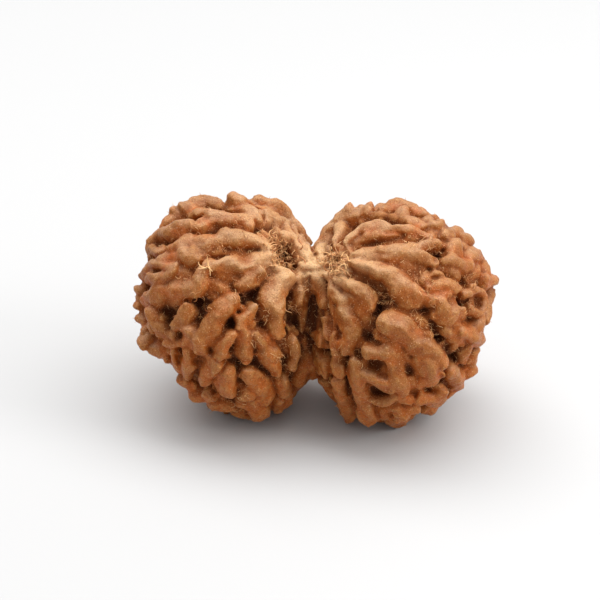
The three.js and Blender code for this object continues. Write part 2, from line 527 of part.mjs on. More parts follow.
function stoneDirections(stone) {
  const chosen = [];
  const choose = (at, apart) => {
    if (chosen.some((other) => other.at.distanceTo(at) < apart)) return;
    chosen.push({ at, direction: locate(stone, at).direction });
  };
  const shifted = (row, aside, ahead) => row.at.clone()
    .addScaledVector(row.across, aside).addScaledVector(row.along, ahead);
  const ridges = stone.crests.map((ridge) => ridgeRows(ridge));
  for (const row of ridges.flat()) {
    row.across = locate(stone, row.at).direction.transformDirection(stone.turn).cross(row.along);
    row.across.normalize();
  }
  for (const rows of ridges) {
    for (const row of rows) {
      const aside = row.halfWidth - topInset;
      const offsets = aside < topApart / 2 ? [0] : [-aside, aside];
      for (const offset of offsets) choose(shifted(row, offset, 0), topApart);
    }
    const [first, last] = [rows[0], rows[rows.length - 1]];
    choose(shifted(first, 0, topInset - first.halfWidth), topApart);
    choose(shifted(last, 0, last.halfWidth - topInset), topApart);
  }
  const clearance = (at) => Math.min(...stone.crests.map((ridge) => {
    const near = nearestOnRidge(ridge, at);
    return near.distance - near.halfWidth;
  }));
  for (const rows of ridges) {
    const first = rows[0];
    const last = rows[rows.length - 1];
    const feet = rows.flatMap((row) => [{ row, aside: 1, ahead: 0 }, { row, aside: -1, ahead: 0 }]);
    feet.push({ row: first, aside: 0, ahead: -1 }, { row: last, aside: 0, ahead: 1 });
    for (const { row, aside, ahead } of feet) {
      const spot = footOffsets
        .map((offset) => ({ offset, out: row.halfWidth + offset }))
        .map(({ offset, out }) => ({ offset, at: shifted(row, aside * out, ahead * out) }))
        .find(({ offset, at }) => clearance(at) > offset * clearShare);
      if (spot) choose(spot.at, footApart);
    }
  }
  const goldenAngle = Math.PI * (3 - Math.sqrt(5));
  for (let i = 0; i < floorTries; i += 1) {
    const rise = 1 - (2 * i + 1) / floorTries;
    const ring = Math.sqrt(1 - rise * rise);
    const turn = i * goldenAngle;
    const direction = new THREE.Vector3(ring * Math.cos(turn), ring * Math.sin(turn), rise);
    choose(place(stone, direction, ridgeLevel), floorApart);
  }
  return chosen.map((vertex) => vertex.direction);
}

// Solids

const wasm = await Module();
wasm.setup();

function toSolid(geometry) {
  geometry.deleteAttribute('normal');
  geometry.deleteAttribute('uv');
  const merged = mergeVertices(geometry, stoneWeld);
  return new wasm.Manifold(new wasm.Mesh({
    numProp: 3,
    vertProperties: new Float32Array(merged.attributes.position.array),
    triVerts: new Uint32Array(merged.index.array),
  }));
}

function toGeometry(solid) {
  const { vertProperties, triVerts } = solid.getMesh();
  const geometry = new THREE.BufferGeometry();
  geometry.setAttribute('position', new THREE.BufferAttribute(vertProperties, 3));
  geometry.setIndex(new THREE.BufferAttribute(triVerts, 1));
  geometry.computeVertexNormals();
  return geometry;
}

function stoneSolid(stone) {
  addFloor(stone);
  addCrests(stone);
  const ball = new ConvexGeometry(stoneDirections(stone));
  ball.deleteAttribute('normal');
  const geometry = mergeVertices(ball, directionWeld);
  const position = geometry.attributes.position;
  for (let i = 0; i < position.count; i += 1) {
    const direction = new THREE.Vector3().fromBufferAttribute(position, i).normalize();
    const point = place(stone, direction, surfaceHeight(stone, direction));
    position.setXYZ(i, point.x, point.y, point.z);
  }
  return toSolid(geometry);
}

const cutterSide = 80;

function underTheSurface() {
  const geometry = new THREE.BoxGeometry(cutterSide, cutterSide, cutterSide);
  geometry.translate(0, 0, -cutterSide / 2);
  return toSolid(geometry);
}

// The largest body alone: bubbles closed in by the join are filled and loose scraps dropped.

function wholeBody(solid) {
  return solid.decompose().sort((one, other) => other.volume() - one.volume())[0];
}

function twinSeed() {
  const joined = stoneSolid(leftStone).add(stoneSolid(rightStone)).add(stoneSolid(joint));
  const solid = wholeBody(joined.subtract(underTheSurface()));
  const shell = new THREE.MeshStandardMaterial({ color: 0xb57a50, roughness: 0.55, metalness: 0 });
  const mesh = new THREE.Mesh(toGeometry(solid), shell);
  mesh.name = 'twin_seed';
  return mesh;
}

const group = new THREE.Group();
group.name = 'rudraksha';
group.add(twinSeed());

export default group;
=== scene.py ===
# A twin rudraksha seed: two deeply furrowed stones that grew together side by side, with the dry
# fibres of the fruit left in their furrows. Lengths are in millimetres until a mesh is made.
import math
import bpy
import numpy as np
from mathutils import Matrix, Vector
from mathutils.bvhtree import BVHTree


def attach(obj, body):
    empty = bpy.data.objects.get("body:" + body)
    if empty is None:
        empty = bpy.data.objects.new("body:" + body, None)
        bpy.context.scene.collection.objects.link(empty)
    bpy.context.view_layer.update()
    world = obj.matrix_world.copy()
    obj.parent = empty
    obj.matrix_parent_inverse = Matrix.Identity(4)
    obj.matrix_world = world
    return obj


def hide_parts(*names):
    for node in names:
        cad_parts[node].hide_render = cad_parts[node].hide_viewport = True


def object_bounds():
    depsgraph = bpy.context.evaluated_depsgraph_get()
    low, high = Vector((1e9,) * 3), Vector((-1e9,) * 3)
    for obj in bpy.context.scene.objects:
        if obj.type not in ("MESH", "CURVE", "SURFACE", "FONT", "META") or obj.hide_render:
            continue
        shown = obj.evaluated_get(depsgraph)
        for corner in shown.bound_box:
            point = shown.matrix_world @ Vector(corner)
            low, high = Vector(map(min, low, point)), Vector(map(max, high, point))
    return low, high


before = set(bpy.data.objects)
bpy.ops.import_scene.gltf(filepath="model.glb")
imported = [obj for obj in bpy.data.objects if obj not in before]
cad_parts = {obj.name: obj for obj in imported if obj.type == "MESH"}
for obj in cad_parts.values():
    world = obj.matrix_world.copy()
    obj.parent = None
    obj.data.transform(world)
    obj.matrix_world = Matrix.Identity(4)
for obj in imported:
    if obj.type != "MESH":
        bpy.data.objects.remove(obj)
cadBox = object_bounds()
millimetre = 0.001

# The stones' forms

form = dict(
    jointHeight=11.2,  # from the floor up to the middle of the joint
    furrowDepth=1.9,  # from a stone's outer form in to the floor of its furrows
    pathShare=0.6,  # of that depth at which ridges are spaced out and their paths run
    crestRound=0.5,  # most that a crest is rounded by, where a drawn one meets the stone
    viewAzimuth=5,  # of the viewer who sees the front drawing, in degrees
    viewElevation=30,
    viewDistance=250,
    frontFrom=(1.0, 4.0),  # nearer to the viewer than the joint by this, where the front begins
    wearDepth=0.35,  # worn off the low ridge that each stone rests on
    restHalfWidth=0.8,
)
pathLevel = form["pathShare"] * form["furrowDepth"]
noiseSeed = dict(rise=3, lump=5, roof=6, floor=11, warp=20, roughness=40, puff=41,
             ripe=60, lint=80)

# Each point of a ridge is [right, up, half width, height over the furrow floor] as the viewer
# sees it from the middle of the joint. Where the height is left out, it is the furrows' depth.

leftRidges = [
  # crown
  [[-11.7,10.7,.4], [-10.5,10.75,.42], [-9.5,10.6,.45], [-8.6,10.3,.45], [-7.2,10,.45], [-6.2,9.4,.45],
    [-5.5,8.9,.4]],
  [[-7.7,11,.8,2.7], [-6.4,10.6,.6], [-5.6,10.9,.5], [-4.6,10.5,.5], [-3.5,10,.45], [-2.5,9.6,.45],
    [-2,9.1,.4], [-1.4,8.4,.4], [-.9,7.5,.35], [-.4,6.7,.3]],
  [[-12.9,10.3,.5], [-11.8,10,.45], [-11.3,9.5,.45]],
  [[-11.6,8.2,.45], [-10.5,8.9,.55], [-9.5,9.1,.55], [-8,9,.55], [-7,8.9,.5], [-6.4,8.4,.4]],
  [[-10.8,9.6,.3], [-9.3,9.6,.35]],
  [[-11.5,6.9,.5], [-10,7.1,.8], [-8.5,7.2,.85], [-7,7.3,.85], [-5.8,7,.8], [-5.1,6.4,.6]],
  [[-10,4.3,.7], [-8.5,4.4,.85], [-7,4.5,.9], [-5.5,4.8,.85], [-4.5,5.1,.7]],
  # rim and strands of the stem pit
  [[-5.4,7.5,.28,1.7], [-4.7,6.6,.28,1.8], [-4.4,5.5,.28,1.8], [-4.1,4.5,.28,1.8], [-3.4,3.9,.28,1.8],
    [-2.5,3.8,.28,1.8]], [[-1.2,5.2,.35], [-2.2,7,.4], [-2.8,8.6,.35], [-3.6,9,.3]],
  [[-1,5.6,.25], [-1.5,7.4,.28], [-2,8.6,.25]], [[-.6,5.5,.22], [-.8,6.6,.25], [-1.2,7.9,.22]],
  # upper left
  [[-15,8.4,.35], [-14.2,8.9,.42], [-13.4,9.5,.4]], [[-13.9,9.9,.35]],
  [[-14.3,7.6,.5], [-13.5,8.1,.6], [-12.4,8.2,.55]], [[-15.6,7.3,.4], [-14.8,7.5,.45]],
  [[-16.1,6.7,.4], [-16.1,5.8,.45], [-15.3,5.8,.4]], [[-14,6.4,.6], [-13.3,6.7,.7], [-12.6,6.9,.6]],
  [[-12.9,5.3,.6], [-12.2,5,.75], [-11.5,5.9,.7], [-10.8,6.5,.6]], [[-16.4,5.1,.25]],
  [[-15.2,5.1,.35], [-14.5,5.3,.45], [-13.5,5.1,.4]], [[-15.8,4.6,.3], [-14.8,4.5,.35], [-14.2,4.2,.35]],
  [[-16.9,3.3,.4], [-16.2,4.1,.45], [-15.6,4.4,.4]],
  [[-16.5,2.9,.35], [-15.5,3.1,.42], [-14.6,3.4,.45], [-13.8,3.9,.45]],
  # outer side
  [[-17.1,-.8,.35], [-17,.2,.4], [-16.5,1,.5], [-15.5,1.6,.7], [-14.5,1.9,.85], [-13.3,2,.8],
    [-12.7,2,.7]], [[-17.5,1.9,.4]], [[-17.5,1.1,.3]], [[-17.7,.2,.35]],
  [[-17.4,-1.2,.4], [-16.9,-1.6,.42]], [[-17,-3.3,.6]],
  [[-16.6,-1.9,.4], [-16.1,-2.7,.48], [-15.6,-3.4,.45]], [[-16,-.4,.5], [-15.7,-1,.6], [-15.3,-1.7,.6]],
  [[-15.8,-4.1,.45], [-15.2,-4.6,.5], [-14.5,-4.9,.45]], [[-15.3,-2.5,.35], [-14.2,-2.5,.4]],
  [[-14.5,-3.4,.45], [-13.2,-3.5,.5], [-12.6,-3,.45]],
  [[-14,-4.4,.3], [-13.7,-5.1,.35], [-13.5,-5.9,.35]],
  # middle
  [[-11.7,1.8,.55], [-11.4,2.7,.6], [-11,3.4,.55]], [[-13.8,-1.6,.45], [-13.1,-.8,.55], [-12.6,-.1,.5]],
  [[-13,-1.8,.4], [-12.3,-2.2,.45], [-11.2,-2.8,.4,1.5]],
  [[-8.5,.8,.75], [-9.3,-.1,.85], [-9.9,-1.2,.85], [-10.6,-2.4,.8], [-11.3,-3.7,.7]],
  [[-12.6,-4.4,.5], [-12.5,-5.3,.6], [-12.5,-6.3,.55]], [[-12.9,-7.4,.6], [-12.5,-7.6,.6]],
  [[-9.8,-5.5,.5], [-10.3,-6.2,.6], [-10.8,-7.1,.55]],
  [[-11.8,-8.6,.55], [-11,-8.7,.65], [-10.3,-8.7,.55]], [[-8.3,-2.7,.45], [-8.8,-3.5,.5], [-9.2,-4.2,.5]],
  [[-6.2,0,.55], [-6.7,-.7,.7], [-7.2,-1.4,.6]], [[-7.5,2.6,.5], [-6.2,3,.6], [-5.4,3.5,.5]],
  # beside the joint
  [[-2.6,3.2,.7], [-3.5,2.2,1], [-3.9,1,1.1], [-3.6,-.3,.8], [-3.6,-2.1,.7]],
  [[-1.5,3.2,.35], [-1.3,2,.35], [-1.3,.8,.35]], [[-2,-3.2,.45], [-1.9,-4.2,.5], [-2.1,-5.5,.45]],
  # underside as seen from the front
  [[-4.8,-4.2,.65], [-4.2,-5,.75], [-3.7,-6,.55]], [[-6.9,-2.6,.5], [-6.8,-3.6,.6], [-6.9,-4.7,.55]],
  [[-5.6,-2.7,.4], [-5.2,-3.5,.4], [-5,-4,.4]],
  [[-6.6,-6.5,.7], [-5.7,-7.3,.85], [-4.8,-8.1,.8], [-4.8,-8.8,.8]],
  [[-8.7,-6.6,.6], [-8.7,-7.6,.7], [-8.6,-8.2,.6]], [[-7,-8.6,.7], [-6.5,-8.6,.6]],
  [[-7.2,-9.8,.4], [-6.6,-9.9,.4]], [[-5.8,-9.4,.6], [-5.3,-10.4,.8,2.4]],
  [[-3,-7.2,.45], [-2.8,-8.2,.45]], [[-3.5,-9.1,.4], [-3.5,-10,.4]],
  [[-2.5,-8.8,.4,2.1], [-2.7,-9.6,.4,2.1]],
]

rightRidges = [
  # crown
  [[.4,6,.35], [1,7.2,.38], [1.7,8,.38], [2.4,8.7,.38], [3,9.4,.4], [3.5,10.1,.45]],
  [[5.5,9.8,.55], [4.8,10,.65], [4.7,9.2,.5], [3.8,8.8,.45], [3.1,8.4,.42], [2.7,7.6,.4], [2.3,6.8,.35]],
  [[3.4,6.7,.35], [4,7.3,.42], [4.7,7.9,.5], [5.6,8.2,.58], [6.6,8.3,.52], [7.6,8,.42], [9,8,.35],
    [10.2,7.9,.33], [11,7.6,.32], [11.6,7.2,.32]],
  [[6.9,9.9,.45], [8,10.2,.6], [9.3,10.3,.75], [10.4,9.9,.75], [10.9,9.5,.6]],
  [[8.9,10,.5], [9,9.3,.5], [9.7,8.9,.5], [10.7,8.5,.45]], [[12,9.1,.5], [11.4,8.9,.4]],
  [[12.9,8.3,.55], [12.3,8.2,.5], [11.9,8.5,.4]], [[14.4,7.6,.52], [13.7,7.6,.52], [13.2,7.3,.4]],
  [[15.5,6.8,.52], [14.9,6.9,.45]], [[14.1,6.4,.5], [14.2,5.7,.75], [13.9,5.2,.6]],
  [[4.3,5.4,.5], [5.2,5.5,.6], [6.2,5.6,.68], [7.5,5.7,.8], [8.8,5.8,1], [9.9,5.6,.95], [10.9,5.2,.65],
    [12,4.6,.42]], [[9.9,6.1,.6], [11.2,6.4,.42], [12.4,6.5,.35]],
  [[3.7,4.7,.35], [4.6,4.5,.4], [5.7,4.2,.52], [6.8,3.7,.75], [8.2,3,.95], [9.4,1.9,1], [10.4,1.2,.8],
    [11.6,.9,.45]],
  # rim and strands of the stem pit
  [[3.4,6.4,.28,1.7], [3.8,5.6,.28,1.8], [3.7,4.7,.28,1.8], [3.3,3.7,.28,1.8], [2.5,3.2,.28,1.8],
    [1.5,3.2,.28,1.8]], [[.9,5.7,.4], [1.4,6.4,.6], [2,7.1,.5]],
  [[.5,4.6,.3], [1.2,5,.32], [2,5.3,.35], [2.9,5.4,.35]], [[.6,4.1,.28], [1.4,4.4,.25], [1.9,4.7,.25]],
  [[3,5,.28], [3,4.4,.25], [2.7,3.9,.28], [1.9,3.5,.28], [1,3.6,.28]],
  [[2.4,6.2,.3,1.6], [3,6,.3,1.5], [3.5,5.6,.3,1.6]],
  # beside the joint
  [[.5,3,.4], [.6,1.6,.5], [.7,.6,.42]],
  [[1.7,3.1,.4], [1.7,2,.38], [2.4,1.2,.42], [3.1,.5,.5], [3,-.4,.85], [3.1,-1.3,1.05], [3.6,-2.3,.75],
    [3.5,-3.3,.58], [3.3,-4.1,.42]],
  [[2.4,3,.35], [3.4,2.5,.42], [4.4,2,.48], [5.2,1.3,.7], [5.4,.5,.55]],
  [[1.1,-1.2,.26,1.5], [1.3,-2,.28,1.5], [1.6,-2.8,.3,1.5]], [[2.3,-3,.48], [2.2,-3.5,.45]],
  [[2.3,-4.5,.45], [2.2,-5.3,.58], [2.7,-6.1,.52]],
  # middle
  [[7.4,-1.3,1.1], [8.7,-1.8,1.1], [9.9,-2.9,1.1], [11.1,-4,1.1], [12.3,-4.9,1.05]],
  [[11.2,-5.6,.85], [11.4,-6.6,.75], [10.9,-7.4,.55]],
  [[5.6,-4.2,.55], [6.8,-4.2,.62], [7.8,-4.7,.62], [8.2,-5.7,.62], [8.4,-6.8,.68], [8.8,-8,.6]],
  [[8.2,-3.5,.55,1.6], [7.5,-4,.5,1.6]], [[5,-.3,.65,1.2], [5.3,-1.6,.5,1]],
  [[6.3,-2.3,.45,1.2], [6.9,-3.2,.42,1.2]],
  # outer side
  [[16.4,5.3,.58], [15.5,5.3,.5]], [[17,4.5,.45], [17.1,3.7,.48]], [[17.7,2.8,.5], [17,2.7,.5]],
  [[13.2,4.7,.45], [14.4,4.5,.48], [15.6,4.4,.45]],
  [[11.4,3.4,.28,1.5], [12,3.5,.28,1.5], [12.8,3.2,.25,1.5]],
  [[11.8,2.4,.45], [13,2.4,.5], [14.2,2.2,.48]], [[12.4,1.3,.42,1.7], [13.2,1.4,.4,1.7]],
  [[12.8,.4,.55], [13.2,-.5,.85], [14.3,-.4,.8]], [[13.3,-1.9,.65,1.5], [13.7,-2.6,.5,1.3]],
  [[15.2,1.7,.36], [16.2,1.9,.38], [16.9,1.4,.35], [17,.5,.35], [16.7,-.3,.38], [15.7,0,.34]],
  [[15.9,2.4,.35]], [[17.6,1,.38]], [[16.7,-.9,.35], [16.4,-1.6,.38]],
  [[14.9,-2.4,.55], [15.8,-2.6,.6], [16.5,-2.9,.58]], [[15.4,-3.8,.6,1.6], [15.1,-4.8,.55,1.6]],
  [[16,-4.5,.5], [15.7,-5.4,.55]], [[15.5,-6.4,.65]],
  # lower right
  [[13.7,-6.1,.6], [14.3,-7,.68], [14.2,-8,.7], [13.6,-8.5,.5]],
  [[12.9,-9,.52], [11.8,-8.9,.62], [10.8,-8.9,.65]], [[12.6,-6.5,.28], [12,-7.2,.3], [11.6,-7.6,.3]],
  [[9.6,-7,.4,1.7], [9.9,-7.6,.35,1.7]], [[9.4,-9.2,.42], [8.9,-8.9,.5]],
  [[8.4,-10,.5], [8.8,-10.5,.6,2.2]],
  # underside as seen from the front
  [[4.3,-5.5,.62], [4.4,-6.8,.78], [4.7,-8.2,.72], [4.9,-9.6,.7,2.2], [5.4,-11.3,.85,2.9]],
  [[4.9,-6.4,.5], [5.9,-6.8,.48], [6.9,-7.3,.42], [7.8,-7.8,.45]],
  [[8.7,-8.8,.42], [7.9,-9.1,.45], [7,-9.4,.42], [6.2,-9.2,.4]],
  [[2.5,-7.3,.5], [2.8,-8.6,.55], [3.1,-9.8,.68,2.1], [3.2,-10.8,.72,2.4]],
  [[6.8,-10.4,.55], [7,-10.7,.5]],
]

# Faces that slope down from a ridge or lie between ridges, lower than these

leftFaces = [
  [[-9.2,3.5,.6,1.3], [-7.9,3.3,.8,1.3], [-6.7,3.5,.8,1.35], [-5.6,4,.6,1.35]],
  [[-9.9,2.4,.5,1.4], [-9,2,.5,1.4]], [[-13.6,-2.6,.4,1.2]], [[-4.5,3.9,.4,1.4]],
  [[-10.9,2.7,.5,1.4], [-10.4,1.7,.4,1.1]],
  [[-16.4,-.4,.5,1.3], [-15.5,.5,.5,1.3], [-14.5,1,.5,1.3], [-13.4,.9,.6,1.5]],
  [[-12.9,-1.2,.6,1.5], [-12.4,-2.2,.8,1.6], [-11.9,-3.2,.7,1.6]],
  [[-7,-1.9,.5,1.2], [-6,-2.2,.5,1.2], [-5,-2.6,.5,1.3], [-4.4,-3.4,.5,1.4]],
  [[-4.9,1.9,.4,1.1], [-5,.7,.5,1], [-4.9,-.5,.5,1.1]],
  [[-9.2,-5.8,.5,.8], [-9.4,-7,.6,.8], [-9,-8.3,.5,.9]],
  [[-7.4,-5.8,.5,.7], [-7.6,-7.2,.6,.8], [-6.9,-8,.5,.8]],
  [[-11.3,-5,.5,.8], [-11.7,-6.5,.5,.8], [-11.7,-7.9,.5,.9]],
  [[-3,-3.4,.5,.9], [-3.2,-4.6,.5,.8], [-2.9,-6.1,.5,.9]],
  [[-4.4,-6.7,.5,.9], [-3.9,-7.9,.5,.8], [-4,-9.4,.6,1.2]], [[-14.8,-3.4,.5,1.2], [-13.6,-4.2,.4,1.2]],
  [[-15,5,.5,1.4], [-13.7,4.2,.5,1.3], [-12.5,3.4,.5,1.3]],
  [[-9.6,5.8,.5,1.3], [-8,6,.5,1.3], [-6.6,6,.5,1.3], [-5.4,5.6,.4,1.3]],
  [[-12,7.4,.4,.8], [-10.6,8,.4,.7], [-8.9,8.1,.4,.7], [-7,8,.4,.9]],
  [[-4.8,7.4,.6,1.4], [-4,6.9,.6,1.3], [-3.5,7.8,.5,1.3]],
  [[-5.4,9.6,.5,1.5], [-4.4,9.3,.5,1.5], [-3.4,8.9,.5,1.5], [-2.6,8.4,.4,1.5]],
  [[-13.8,7.2,.5,1.4], [-12.4,7.5,.5,1.4]], [[-14.6,2.9,.4,1.3], [-13,3.1,.5,1.3]],
]

rightFaces = [
  [[4.4,3.4,.5,1], [5.6,2.9,.5,.9], [6.6,2.3,.5,.9]], [[3.4,1.6,.6,1.3], [4.2,.9,.7,1.3], [4.6,0,.6,1.3]],
  [[2.1,.6,.5,1.4], [2.2,-.6,.5,1.4], [2.3,-1.8,.4,1.3]],
  [[4.5,-1.4,.6,1.3], [4.9,-2.3,.5,1.1], [4.6,-3.3,.5,1.1]],
  [[6.6,-2.6,.6,1.4], [7.7,-3.2,.6,1.5], [8.9,-4.2,.7,1.4], [9.6,-5.1,.6,1.3]],
  [[7.6,.3,.5,1], [8.7,-.2,.6,1.1], [10,-.7,.5,1.1], [11.4,-2,.5,1.1]],
  [[7.7,4.5,.6,1.3], [9.2,4.3,.8,1.4], [10.6,3.9,.6,1.2]],
  [[9.4,3.2,.5,1.2], [10.6,2.4,.6,1.2], [11.6,2.9,.5,1.1]],
  [[4.6,6.4,.5,1.4], [5.8,7,.6,1.5], [7.2,7,.6,1.5], [8.8,6.9,.5,1.3], [10.2,6.9,.4,1.3]],
  [[6.2,9.2,.6,1.5], [7.4,9.2,.6,1.4], [8.6,8.9,.5,1.4], [10,8.7,.5,1.4]],
  [[12.4,7.6,.6,1.4], [11.9,6.9,.5,1.3], [13,6.1,.5,1.3]],
  [[15,5.9,.5,1.4], [15.9,4.8,.5,1.4], [16.2,3.7,.5,1.4], [15.2,3.2,.5,1.3]],
  [[12.9,3.9,.5,1.2], [14,3.4,.6,1.3]], [[12.4,1.9,.5,1.3], [13.6,1,.6,1.4], [14,.2,.6,1.5]],
  [[15.7,.8,.4,1.2], [15.9,-.9,.5,1.3], [14.9,-1.6,.5,1.3]], [[13.9,-1.6,.6,1.4], [14.6,-3.1,.5,1.2]],
  [[12.8,-6,.5,.9], [12.9,-7.4,.5,.8], [12,-8.2,.5,.8], [10.7,-8.4,.5,.8]],
  [[7.2,-5.2,.5,1.1], [7.4,-6.3,.5,1.2], [7.9,-7.1,.5,1.2]], [[5.3,-4.9,.5,1.2], [5,-5.7,.5,1.3]],
  [[3.3,-6.2,.4,.8], [3.5,-7.6,.4,.8], [3.9,-9.1,.5,1]],
  [[6,-9.9,.5,1.6], [7.4,-9.9,.5,1.5], [8.5,-9.3,.5,1.4]], [[9.6,-7.9,.5,1.2], [10,-8.9,.5,1.4]],
  [[10.2,-5.3,.6,1.6], [10.1,-6.2,.5,1.2]],
]

jointFaces = [
  [[-1.4,3.3,.34,1.8], [-1.6,2.2,.38,1.8], [-1.5,1,.38,1.7], [-1.4,0,.3,1.5]],
  [[.8,2.7,.38,1.8], [1,1.5,.42,1.8], [1.1,.5,.34,1.6]],
]

jointRidges = [
  # the knot where the crests of both stones meet
  [[-.75,4.25,.36,1.7], [-.3,4.4,.42,1.8], [.15,4.25,.36,1.7]],
  # strips from the knot up beside the notch
  [[-.5,4.7,.28,1.6], [-.9,5.4,.28,1.5], [-1.3,6.1,.28,1.4], [-1.7,6.8,.26,1.3]],
  [[-.3,4.8,.22,1.4], [-.5,5.6,.22,1.4], [-.7,6.4,.22,1.3]],
  [[.2,4.8,.24,1.5], [.7,5.5,.42,1.5], [1.1,6.2,.5,1.5]],
  # strips from the knot down into the groove
  [[-1,4.1,.3,1.5], [-1.5,3.4,.32,1.5], [-1.6,2.2,.34,1.4], [-1.4,.9,.34,1.3]],
  [[-.7,3.9,.24,1.4], [-.8,3,.25,1.3], [-.8,1.9,.25,1.2], [-.7,.9,.22,1]],
  [[-.25,3.9,.22,1.2], [-.25,3,.22,1]],
  [[.2,3.9,.28,1.4], [.5,2.9,.4,1.5], [.75,1.7,.42,1.4], [.95,.6,.3,1.2]],
  [[.5,4.1,.28,1.5], [1.3,3.5,.34,1.5], [1.8,2.5,.36,1.5], [2.2,1.5,.34,1.4]],
  # strips along the groove
  [[-.9,-.3,.34,1], [-1,-1.9,.34,.9]],
  [[.9,-.5,.32,1.1], [1.1,-2,.32,1.1], [1.4,-3.6,.36,1.2], [1.4,-5.2,.36,1.2]],
  [[-.5,-3.2,.38,1], [-.2,-4.6,.38,.9], [-.4,-6.2,.42,1]],
]

jointCentre = np.array([0, 0, form["jointHeight"]])


def unit(vector):
    return vector / np.linalg.norm(vector, axis=-1, keepdims=True)


def viewAxes(azimuth, elevation):  # towards the viewer, to the right and up, as three unit vectors
    a, e = math.radians(azimuth), math.radians(elevation)
    back = np.array([math.sin(a) * math.cos(e), -math.cos(a) * math.cos(e), math.sin(e)])
    right = unit(np.cross([0, 0, 1], back))
    return back, right, np.cross(back, right)


viewBack, viewRight, viewUp = viewAxes(form["viewAzimuth"], form["viewElevation"])
viewerEye = jointCentre + viewBack * form["viewDistance"]


def makeStone(centre, outerForm, tilt, taper, stemPole, ridgeHeight, ridges, restRidge=(),
              flanks=()):
    a = math.radians(tilt)
    turn = np.array([[math.cos(a), 0, math.sin(a)], [0, 1, 0], [-math.sin(a), 0, math.cos(a)]])
    floor = np.array(outerForm) - form["furrowDepth"]
    flanks = [(unit(np.array(point) @ turn / floor), share, breadth)
              for point, share, breadth in flanks]
    # Segments are the ridges' stretches: start, end, half width at both, and the crest's number
    segments = [np.empty((0, 3)), np.empty((0, 3)), np.empty(0), np.empty(0), np.empty(0, int)]
    return dict(centre=np.array(centre), floor=floor, flanks=flanks, turn=turn, taper=taper,
                pole=unit(np.array(stemPole)) @ turn, ridgeHeight=ridgeHeight, ridges=ridges,
                restRidge=restRidge, crests=[], segments=segments)


leftStone = makeStone((-7.95, 0, form["jointHeight"] - 0.15), (9.35, 10.6, 11.5), -15, 0.05,
                      (0.62, -0.35, 0.7), form["furrowDepth"], leftRidges,
                      [(-8.4, -1.9), (-7.9, -0.3), (-8.2, 1.5)],
                      [((-6.9, -4.1, -6.1), 0.12, 0.42), ((-8.7, 1.75, 4.3), 0.05, 0.35),
                       ((0, 5, 10.2), 0.045, 0.45)])
rightStone = makeStone((8.3, 0, form["jointHeight"] - 0.2), (9.45, 10.7, 11.6), 13, 0.06,
                       (-0.66, -0.33, 0.68), form["furrowDepth"], rightRidges,
                       [(8.7, -2.0), (8.2, -0.1), (8.6, 1.7)],
                       [((4.5, 4.9, 7.8), 0.11, 0.45), ((9, -1, -1.7), 0.085, 0.3)])
joint = makeStone(jointCentre, (6.6, 5.9, 7.6), 0, 0, (1, 0, 0), 1.1, jointRidges, (),
                  [((-0.6, -0.8, -7), -0.13, 0.6)])
stones = [leftStone, rightStone, joint]


# A place is an outward direction and a height over the furrow floor, which is an ellipsoid,
# pressed in at its flanks, widened upwards by its taper and turned by its tilt. A flank is a
# point that it lies towards, the share of the reach that it takes off there, or adds where it is
# below 0, and how broad it is.

def pressedIn(stone, direction):
    left = np.ones(direction.shape[:-1])
    for middle, share, breadth in stone["flanks"]:
        left = left - share * np.exp(-((direction - middle) ** 2).sum(-1) / breadth ** 2)
    return left


def place(stone, direction, height):
    reach = 1 + height * np.linalg.norm(direction / stone["floor"], axis=-1)
    reach = reach * pressedIn(stone, direction)
    local = direction * stone["floor"] * reach[..., None]
    local[..., :2] *= (1 + stone["taper"] * local[..., 2:] / stone["floor"][2])
    return local @ stone["turn"].T + stone["centre"]


def locate(stone, point):
    local = (point - stone["centre"]) @ stone["turn"] / stone["floor"]
    local[..., :2] /= 1 + stone["taper"] * local[..., 2:]
    reach = np.linalg.norm(local, axis=-1)
    direction = local / reach[..., None]
    reach = reach / pressedIn(stone, direction)
    return direction, (reach - 1) / np.linalg.norm(direction / stone["floor"], axis=-1)


# The crests of the front are carried along the viewer's sight lines on to the stone. The others
# grow by a rule, from a seeded draw.

sightLine = dict(start=-16, stride=0.05, steps=400)


def sightThrough(right, up):  # a point of the drawing, and the way that the viewer looks there
    target = jointCentre + viewRight * right + viewUp * up
    return target, unit(target - viewerEye)


def carryToStone(stone, right, up, halfWidth, height=form["furrowDepth"]):
    rounding = min(halfWidth, form["crestRound"])
    target, way = sightThrough(right, up)
    along = sightLine["start"] + np.arange(sightLine["steps"]) * sightLine["stride"]
    direction, found = locate(stone, target + along[:, None] * way)
    reached = np.flatnonzero(found <= height - rounding)
    if len(reached):
        return direction[reached[0]], halfWidth, height
    nearest = np.argmin(found)
    return direction[nearest], halfWidth, found[nearest] + rounding


growth = dict(
    seed=41, multiplier=16807, modulus=2147483647,  # of the draws
    sizes=[(8, 400), (5, 500), (3, 700), (1, 900)],  # points of a ridge, and tries
    shortest=0.6,  # share of its points that a ridge must reach to be kept
    facingLimit=0.5,  # they grow where the outward direction turns this far away
    step=1.05,
    halfWidth=(0.5, 0.85),
    height=(0.84, 1.06),  # as a share of the stone's ridge height
    gap=0.4,
    wander=0.4,
    slant=0.5,
    branchShare=0.3,
    branchSlant=1.0,
    clearance=0.25,  # left between a crest and the surface that it rests on
    swell=(0.85, 1.15),
)
growthState = growth["seed"]


def draw(low=0.0, high=1.0):
    global growthState
    growthState = growthState * growth["multiplier"] % growth["modulus"]
    return low + (high - low) * (growthState / growth["modulus"])


